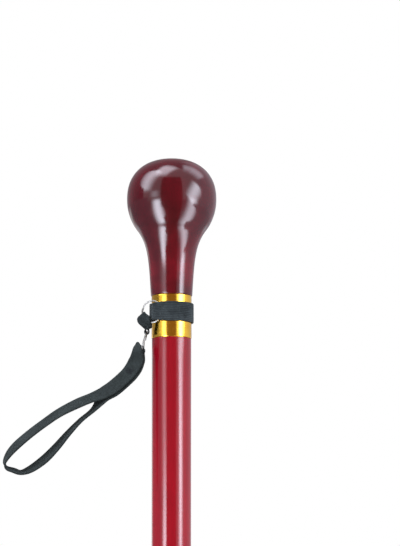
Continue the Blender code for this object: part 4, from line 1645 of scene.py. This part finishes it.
@dataclass
class WristStrap:
    """Webbing loop for the hand: creased inside its ring, doubled below it, then open.

    The ends of the crease are given in millimetres from the ring's lowest wire. So are the knots of the
    spine and the loop, as (x, z, tilt in degrees). Bearing and wire spread are degrees round the ring.
    """

    rings: RingSizes
    width: float = 10.0 * MM
    thickness: float = 1.0 * MM
    bearing: float = -79.0
    layer_gap: float = 0.3 * MM
    crease_near: Triple = (0.8, -4.3, 2.3)
    crease_far: Triple = (-2.2, 3.6, 5.5)
    crease_round: float = 0.64 * MM
    crease_sag: float = 0.8 * MM
    wire_spread: float = 39.0
    wire_gap: float = 1.25 * MM
    far_gap: float = 3.7 * MM
    near_curl: Triple = (1.6, -1.5, -0.4)
    join: float = 4.4 * MM
    under_shift: float = 0.8 * MM
    shift_run: float = 5.0 * MM
    crease_steps: int = 6
    top_steps: int = 14
    lead_in: int = 5
    outline_steps: int = 18
    step: float = 0.6 * MM
    tack_threads: int = 9
    tack_start: int = 10
    tack_pitch: float = 0.62
    tack_reach: float = 0.28
    tack_lift: float = 0.02 * MM
    spine: tuple[Triple, ...] = (
        (-2.1, -3.8, 50.0), (-3.9, -7.3, 53.0), (-6.3, -10.9, 52.0),
        (-9.4, -14.1, 51.0), (-15.2, -19.1, 51.0), (-19.8, -22.0, 46.0),
    )
    loop: tuple[Triple, ...] = (
        (-26.6, -24.2, 36.0), (-33.0, -26.8, 36.0), (-43.6, -32.2, 32.0), (-51.7, -37.8, 30.0),
        (-59.7, -43.9, 30.0), (-67.2, -50.6, 29.0), (-70.7, -55.0, 22.0), (-72.3, -58.9, 9.0),
        (-71.0, -61.6, -12.0), (-67.6, -62.9, -17.0), (-64.3, -64.0, -17.0), (-60.0, -62.9, -25.0),
        (-52.1, -57.6, -31.0), (-45.5, -51.0, -28.0), (-38.7, -43.0, -22.0), (-32.2, -36.2, -17.0),
        (-25.6, -30.6, -19.0),
    )

    @property
    def low(self) -> Vector:
        """Lowest point of the ring's wire, where the strap hangs."""
        return self.rings.point(self.rings.strap_ring(), self.bearing)

    def knot(self, x: float, z: float, tilt: float) -> Vector:
        """A knot of the strap's route, with room for a distance aside."""
        return Vector((self.low.x, self.low.z, 0.0, 0.0)) + Vector((x * MM, z * MM, tilt, 0.0))

    def doubled(self) -> tuple[list[Station], list[Station]]:
        """Both layers below the ring, on one spine.

        Returns:
            Stations of the layer that leads out and of the one that leads back, each from the ring down.
        """
        ring, start = self.rings.strap_ring(), self.knot(0.0, 0.0, 0.0)
        knots = [self.knot(*place) for place in self.spine]
        lead = knots[0] + Vector((ring.up.x, ring.up.z, 0.0, 0.0)) * 2.0 * (knots[0] - start).to_2d().length
        (x0, z0, _), (x1, z1, _) = self.loop[0], self.loop[-1]
        beyond = self.knot((x0 + x1) / 2, (z0 + z1) / 2, self.spine[-1][2])
        spine = smooth_curve([lead, start] + knots + [beyond], self.step)
        layer = (self.thickness + self.layer_gap) / 2
        out, back, along = [], [], 0.0
        for k, here in enumerate(spine):
            ahead = spine[min(k + 1, len(spine) - 1)]
            run = (ahead - spine[max(k - 1, 0)]).to_2d().normalized()
            lean = math.radians(here[2])
            through = Vector((run.y * math.cos(lean), -run.x * math.cos(lean), 0.0, -math.sin(lean)))
            across = Vector((run.y * math.sin(lean), -run.x * math.sin(lean), 0.0, math.cos(lean)))
            aside = across * (self.under_shift * ease((along - self.join) / self.shift_run))
            if along >= self.join:
                out.append(Station(here + through * layer, run))
                turned = Vector((0.0, 0.0, 2.0 * here[2], 0.0))
                back.append(Station(here - through * layer - aside - turned, -run))
            along += (ahead - here).to_2d().length
        return out, back

    def single(self, out: list[Station], back: list[Station]) -> list[Station]:
        """The open loop between the ends of both layers.

        Args:
            out: Stations of the outer layer.
            back: Stations of the inner layer.

        Returns:
            Stations of the loop.
        """
        knots = [self.knot(*place) for place in self.loop]
        lead = [out[-self.lead_in].place, out[-1].place]
        tail = [back[-1].place, back[-self.lead_in].place]
        loop = smooth_curve(lead + knots + tail, self.step)
        return [Station(b, (c - a).to_2d().normalized()) for a, b, c in zip(loop, loop[1:], loop[2:])]

    def row(self, station: Station) -> Row:
        """Middle surface at a station.

        Args:
            station: The station.

        Returns:
            The row.
        """
        x, z, tilt, aside = station.place
        lean = math.radians(tilt)
        across = FAR * math.cos(lean) + Vector((station.run.y, 0.0, -station.run.x)) * math.sin(lean)
        centre = Vector((x, self.low.y + aside, z))
        return lambda share: centre + across * (share * self.width)

    def top(self, station: Station, side: float) -> list[Row]:
        """Rows from the middle of the crease to the first station of one layer.

        Args:
            station: Where the layer joins the doubled part.
            side: 1 for the layer that leaves the ring on its outer side, -1 for the other.

        Returns:
            The rows, from the crease down, without the station's own.
        """
        ring = self.rings.strap_ring()
        near, far = (self.low + Vector(end) * MM for end in (self.crease_near, self.crease_far))
        foot = self.row(station)
        down = (foot(0.0) - (near + far) / 2).normalized()
        front = (far - near).cross(down).normalized()
        run = Vector((station.run.x, 0.0, station.run.y)) * (1.0 if side > 0.0 else -1.0)

        def bend(turn: float, share: float) -> Vector:
            """Place on the sagging crease.

            Args:
                turn: Angle round the crease, 0 at its crest.
                share: Share of the width.

            Returns:
                The place.
            """
            sag = down * (self.crease_sag * (1.0 - 4.0 * share * share))
            turned = (front * (side * math.sin(turn)) - down * math.cos(turn)) * self.crease_round
            return near.lerp(far, share + 0.5) + sag + turned

        def fall(way: float, share: float) -> Vector:
            """Place between the crease and the station, past the wire.

            Args:
                way: Share of the way down.
                share: Share of the width.

            Returns:
                The place.
            """
            start, end = bend(math.pi / 2, share), foot(share)
            wire = self.rings.point(ring, self.bearing + 2.0 * self.wire_spread * share)
            gap = self.wire_gap + (self.far_gap * (share + 0.5) if side > 0.0 else 0.0)
            middle = wire + ring.axis * (side * gap)
            if side > 0.0:
                middle += Vector(self.near_curl) * (MM * (0.5 - share) ** 2)
            half = (end - start) * 0.5
            if way < 0.5:
                return hermite(start, down * (middle - start).length, middle, half, 2.0 * way)
            return hermite(middle, half, end, run * (end - middle).length, 2.0 * way - 1.0)

        bends = [partial(bend, math.pi / 2 * k / self.crease_steps) for k in range(self.crease_steps)]
        return bends + [partial(fall, k / self.top_steps) for k in range(self.top_steps)]

    def build(self) -> None:
        """Lay the strap along its route, weave it and tack it below its ring."""
        out, back = self.doubled()
        stations = out + self.single(out, back) + back[::-1]
        rows = self.top(out[0], 1.0) + [self.row(station) for station in stations]
        rows += self.top(back[0], -1.0)[:0:-1]
        body, length = woven_strip(rows, webbing_outline(self.thickness, self.outline_steps), self.width)
        finish = Webbing("strap_webbing", Weave.TWILL, tint(30, 35, 34), tint(62, 69, 69), self.width)
        piece = add_piece("webbing_wrist_strap", body, finish, crease=70.0)
        mount(piece, "wrist_strap", "strap_webbing", "wrist_strap")
        log.info("wrist strap is %.1f mm round", length / MM)
        self.tack(out, back)

    def tack(self, out: list[Station], back: list[Station]) -> None:
        """Sew both layers together below the ring.

        Args:
            out: Stations of the outer layer.
            back: Stations of the inner layer.
        """
        stitches = Stitches("strap_tack", "strap_thread", radius=0.15 * MM, rise=0.12 * MM)
        for layer, side in ((out, 1.0), (back, -1.0)):
            for k in range(self.tack_threads):
                first = self.tack_start + int(self.tack_pitch * k)
                here, there = self.row(layer[first]), self.row(layer[first + 1])
                way = self.tack_pitch * k % 1.0
                near, far = (here(s).lerp(there(s), way) for s in (-self.tack_reach, self.tack_reach))
                normal = (far - near).cross(there(0.0) - here(0.0)).normalized() * side
                lift = normal * (self.thickness / 2 + self.tack_lift)
                stitches.add(near + lift, far + lift, normal)
        mount(stitches.build(), "wrist_strap", "strap_webbing")


# Studio


def studio_direction(bearing: float, elevation: float) -> Vector:
    """Direction from the cane to a place in the studio, by its bearing and elevation in degrees."""
    b, e = math.radians(bearing), math.radians(elevation)
    return Vector((math.sin(b) * math.cos(e), -math.cos(b) * math.cos(e), math.sin(e)))


class CardTone(Enum):
    """How bright a studio card looks in a reflection, at its first and its last bearing."""

    DARK = ((0.26, 0.15, 0.08), (0.26, 0.15, 0.08))
    LEFT_LOW = ((0.58, 0.58, 0.66), (0.28, 0.28, 0.31))
    LEFT_HIGH = ((0.10, 0.09, 0.11), (0.42, 0.41, 0.44))
    RIGHT = ((1.15, 1.12, 1.24), (0.55, 0.54, 0.60))
    BACK = ((0.32, 0.31, 0.33), (0.32, 0.31, 0.33))


@dataclass(frozen=True)
class Card:
    """Curved studio card that shows in reflections only, between bearings and elevations in degrees."""

    name: str
    bearings: Span
    elevations: Span
    tone: CardTone
    distance: float = 0.84
    across: int = 16
    high: int = 10

    def build(self, target: Vector) -> None:
        """Stand the card round its target and colour it.

        Args:
            target: Middle of the card's curve.
        """
        body = bmesh.new()
        shade = body.verts.layers.float_color.new("shade")
        (left, right), (low, top), (first, last) = self.bearings, self.elevations, self.tone.value
        grid = []
        for i in range(self.high + 1):
            elevation = low + (top - low) * i / self.high
            row = []
            for share in (j / self.across for j in range(self.across + 1)):
                direction = studio_direction(left + (right - left) * share, elevation)
                vert = body.verts.new(target + direction * self.distance)
                vert[shade] = (*(a + (b - a) * share ** 0.5 for a, b in zip(first, last)), 1.0)
                row.append(vert)
            grid.append(row)
        for here, there in zip(grid, grid[1:]):
            for j in range(self.across):
                body.faces.new((here[j], here[j + 1], there[j + 1], there[j]))
        card = add_piece(self.name, body, LitPaper(self.name))
        card.visible_camera = card.visible_diffuse = card.visible_shadow = card.visible_transmission = False


class LampUse(Enum):
    """What a lamp is for: its reflection in gloss, or its light on matt surfaces."""

    GLOSS = "gloss"
    SPILL = "spill"


@dataclass(frozen=True)
class SoftBox:
    """Rectangular studio lamp, placed by its bearing from the cane's upper part.

    Bearing 0 is towards the viewer and grows to the viewer's right, in degrees. Width and height are in
    degrees too, and radiance is the brightness that shows.
    """

    name: str
    use: LampUse
    bearing: float
    elevation: float
    width: float
    height: float
    radiance: float
    distance: float
    fade: Span = (0.48, 0.14)
    roll: float = 0.0
    cast: Triple = (0.93, 0.99, 1.12)

    def soften(self, lamp: bpy.types.Light) -> None:
        """Let a lamp fade towards its edges, as a soft box does.

        Args:
            lamp: The lamp.
        """
        lamp.use_nodes = True
        board = NodeBoard(lamp.node_tree)
        place = board.lay("SeparateXYZ", {0: board.lay("NewGeometry").outputs["Parametric"]})
        sides = []
        for k, fade in enumerate(self.fade):
            near = board.maths("PINGPONG", place.outputs[k], 0.5)
            sides.append(board.shift(near, (0.0, 1.0), (0.0, fade), smooth=True))
        board.feed(board.tree.nodes["Emission"], "Strength", board.times(*sides))

    def build(self, target: Vector) -> None:
        """Hang the lamp and point it at its target.

        Args:
            target: Where it points.
        """
        name = f"{self.name}_{self.use.value}"
        lamp = bpy.data.lights.new(name, "AREA")
        lamp.shape = "RECTANGLE"
        lamp.size = 2.0 * self.distance * math.tan(math.radians(self.width / 2))
        lamp.size_y = 2.0 * self.distance * math.tan(math.radians(self.height / 2))
        lamp.energy = self.radiance * math.pi * lamp.size * lamp.size_y
        lamp.color = self.cast
        box = bpy.data.objects.new(name, lamp)
        bpy.context.scene.collection.objects.link(box)
        box.location = target + studio_direction(self.bearing, self.elevation) * self.distance
        turn = Quaternion((0.0, 0.0, 1.0), math.radians(self.roll))
        box.rotation_euler = ((target - box.location).to_track_quat("-Z", "Y") @ turn).to_euler()
        box.visible_camera = False
        if self.use is LampUse.GLOSS:
            box.visible_diffuse = False
            self.soften(lamp)
        else:
            box.visible_glossy = False


@dataclass
class Studio:
    """Pale floor, white surround, soft lamps, cards that shape the gloss, and the camera."""

    target: Triple = (0.01522, 0.0, 0.85224)
    camera_distance: float = 2.0
    camera_elevation: float = -8.5
    camera_sensor: float = 24.0
    camera_clip: Span = (0.01, 60.0)
    view_height: float = 0.29266
    lamp_centre: Triple = (0.0, 0.0, 0.82)
    floor_size: float = 9.0
    surround_light: float = 0.55
    boxes: tuple[SoftBox, ...] = (
        SoftBox("left_box_low", LampUse.GLOSS, -38.0, -27.5, 40.0, 62.0, 14.5, 0.8),
        SoftBox("left_box_fill", LampUse.GLOSS, -44.0, 9.0, 32.0, 12.0, 3.0, 1.8),
        SoftBox("left_box_high", LampUse.GLOSS, -73.0, 43.0, 50.0, 56.0, 7.5, 0.78),
        SoftBox("top_box", LampUse.GLOSS, -40.0, 73.0, 34.0, 54.0, 6.5, 0.78, fade=(0.3, 0.4)),
        SoftBox("right_box_low", LampUse.GLOSS, 57.0, -27.0, 44.0, 68.0, 9.0, 0.8),
        SoftBox("right_box_middle", LampUse.GLOSS, 60.0, 15.0, 40.0, 42.0, 10.0, 0.78, roll=-45.0),
        SoftBox("right_box_high", LampUse.GLOSS, 102.0, 57.0, 44.0, 38.0, 3.0, 0.78),
        SoftBox("back_left_box", LampUse.GLOSS, -150.0, -22.0, 20.0, 40.0, 0.8, 0.8),
        SoftBox("back_right_box", LampUse.GLOSS, 150.0, -22.0, 20.0, 40.0, 0.8, 0.8),
        SoftBox("left_lamp", LampUse.SPILL, -60.0, 40.0, 30.0, 60.0, 2.6, 1.8),
        SoftBox("top_lamp", LampUse.SPILL, -32.0, 76.0, 62.0, 28.0, 2.0, 1.8),
        SoftBox("right_lamp", LampUse.SPILL, 49.0, 16.0, 36.0, 38.0, 2.3, 1.6),
        SoftBox("right_high_lamp", LampUse.SPILL, 48.0, 55.0, 44.0, 36.0, 1.5, 1.8),
        SoftBox("back_left_lamp", LampUse.SPILL, -150.0, -22.0, 18.0, 40.0, 1.8, 1.4),
        SoftBox("back_right_lamp", LampUse.SPILL, 150.0, -22.0, 18.0, 40.0, 1.8, 1.4),
    )
    cards: tuple[Card, ...] = (
        Card("front_card", (-28.0, 28.0), (-72.0, 50.0), CardTone.DARK),
        Card("left_low_card", (-63.0, -138.0), (-72.0, 7.5), CardTone.LEFT_LOW),
        Card("left_high_card", (-77.0, -170.0), (7.5, 62.0), CardTone.LEFT_HIGH),
        Card("right_low_card", (59.0, 138.0), (-72.0, -5.0), CardTone.RIGHT),
        Card("right_high_card", (78.0, 170.0), (-5.0, 62.0), CardTone.RIGHT),
        Card("back_card", (165.0, 195.0), (-72.0, 62.0), CardTone.BACK),
        Card("ceiling_card", (70.0, 280.0), (60.0, 90.0), CardTone.BACK),
    )

    def build_camera(self) -> None:
        """Camera at the photograph's viewing angle, looking slightly up at the knob."""
        camera = bpy.data.cameras.new("camera")
        camera.sensor_fit = "VERTICAL"
        camera.sensor_height = self.camera_sensor
        camera.lens = self.camera_sensor * self.camera_distance / self.view_height
        camera.clip_start, camera.clip_end = self.camera_clip
        stand = bpy.data.objects.new("camera", camera)
        bpy.context.scene.collection.objects.link(stand)
        target = Vector(self.target)
        stand.location = target + studio_direction(0.0, self.camera_elevation) * self.camera_distance
        stand.rotation_euler = (target - stand.location).to_track_quat("-Z", "Y").to_euler()
        bpy.context.scene.camera = stand

    def build_floor(self) -> None:
        """Plain pale floor under the foot."""
        body = bmesh.new()
        bmesh.ops.create_grid(body, x_segments=8, y_segments=8, size=self.floor_size)
        add_piece("floor", body, FloorPaper("pale_paper", (0.86, 0.86, 0.855)))

    def build_world(self) -> None:
        """White to the camera and in reflections, softer as light on the cane."""
        world = bpy.data.worlds.new("surround")
        bpy.context.scene.world = world
        world.use_nodes = True
        world.node_tree.nodes.clear()
        board = NodeBoard(world.node_tree)
        rays = board.lay("LightPath").outputs
        shown = rays["Is Camera Ray"]
        for name in ("Is Glossy Ray", "Is Transmission Ray"):
            shown = board.maths("MAXIMUM", shown, rays[name])
        sides = []
        for strength in (self.surround_light, 1.0):
            feeds = {"Color": (1.0, 1.0, 1.0, 1.0), "Strength": strength}
            sides.append(board.lay("Background", feeds).outputs[0])
        either = board.lay("MixShader", {0: shown, 1: sides[0], 2: sides[1]})
        board.lay("OutputWorld", {"Surface": either.outputs[0]})

    def build(self) -> None:
        """Set up the whole studio, with plain colour handling so that colours show as they are written."""
        bpy.context.scene.view_settings.view_transform = "Standard"
        self.build_camera()
        self.build_floor()
        self.build_world()
        for item in self.boxes + self.cards:
            item.build(Vector(self.lamp_centre))


def main() -> None:
    """Build the studio and every sub-assembly of the cane."""
    logging.basicConfig(level=logging.INFO, format="%(message)s")
    Studio().build()
    cane = CaneSizes()
    rings = RingSizes(cane)
    sub_assemblies = (
        KnobHandle(cane),
        Stick(cane),
        Collar(cane),
        DowelScrew(cane),
        RubberFoot(cane),
        SplitRing("band_split_ring", rings, rings.band_ring(), split=37.0, body="band_ring"),
        SplitRing("strap_split_ring", rings, rings.strap_ring(), split=0.0, body="strap_ring"),
        ElasticBand(cane, rings),
        LinkTab(rings),
        WristStrap(rings),
    )
    for sub_assembly in sub_assemblies:
        sub_assembly.build()


if __name__ == "__main__":
    main()
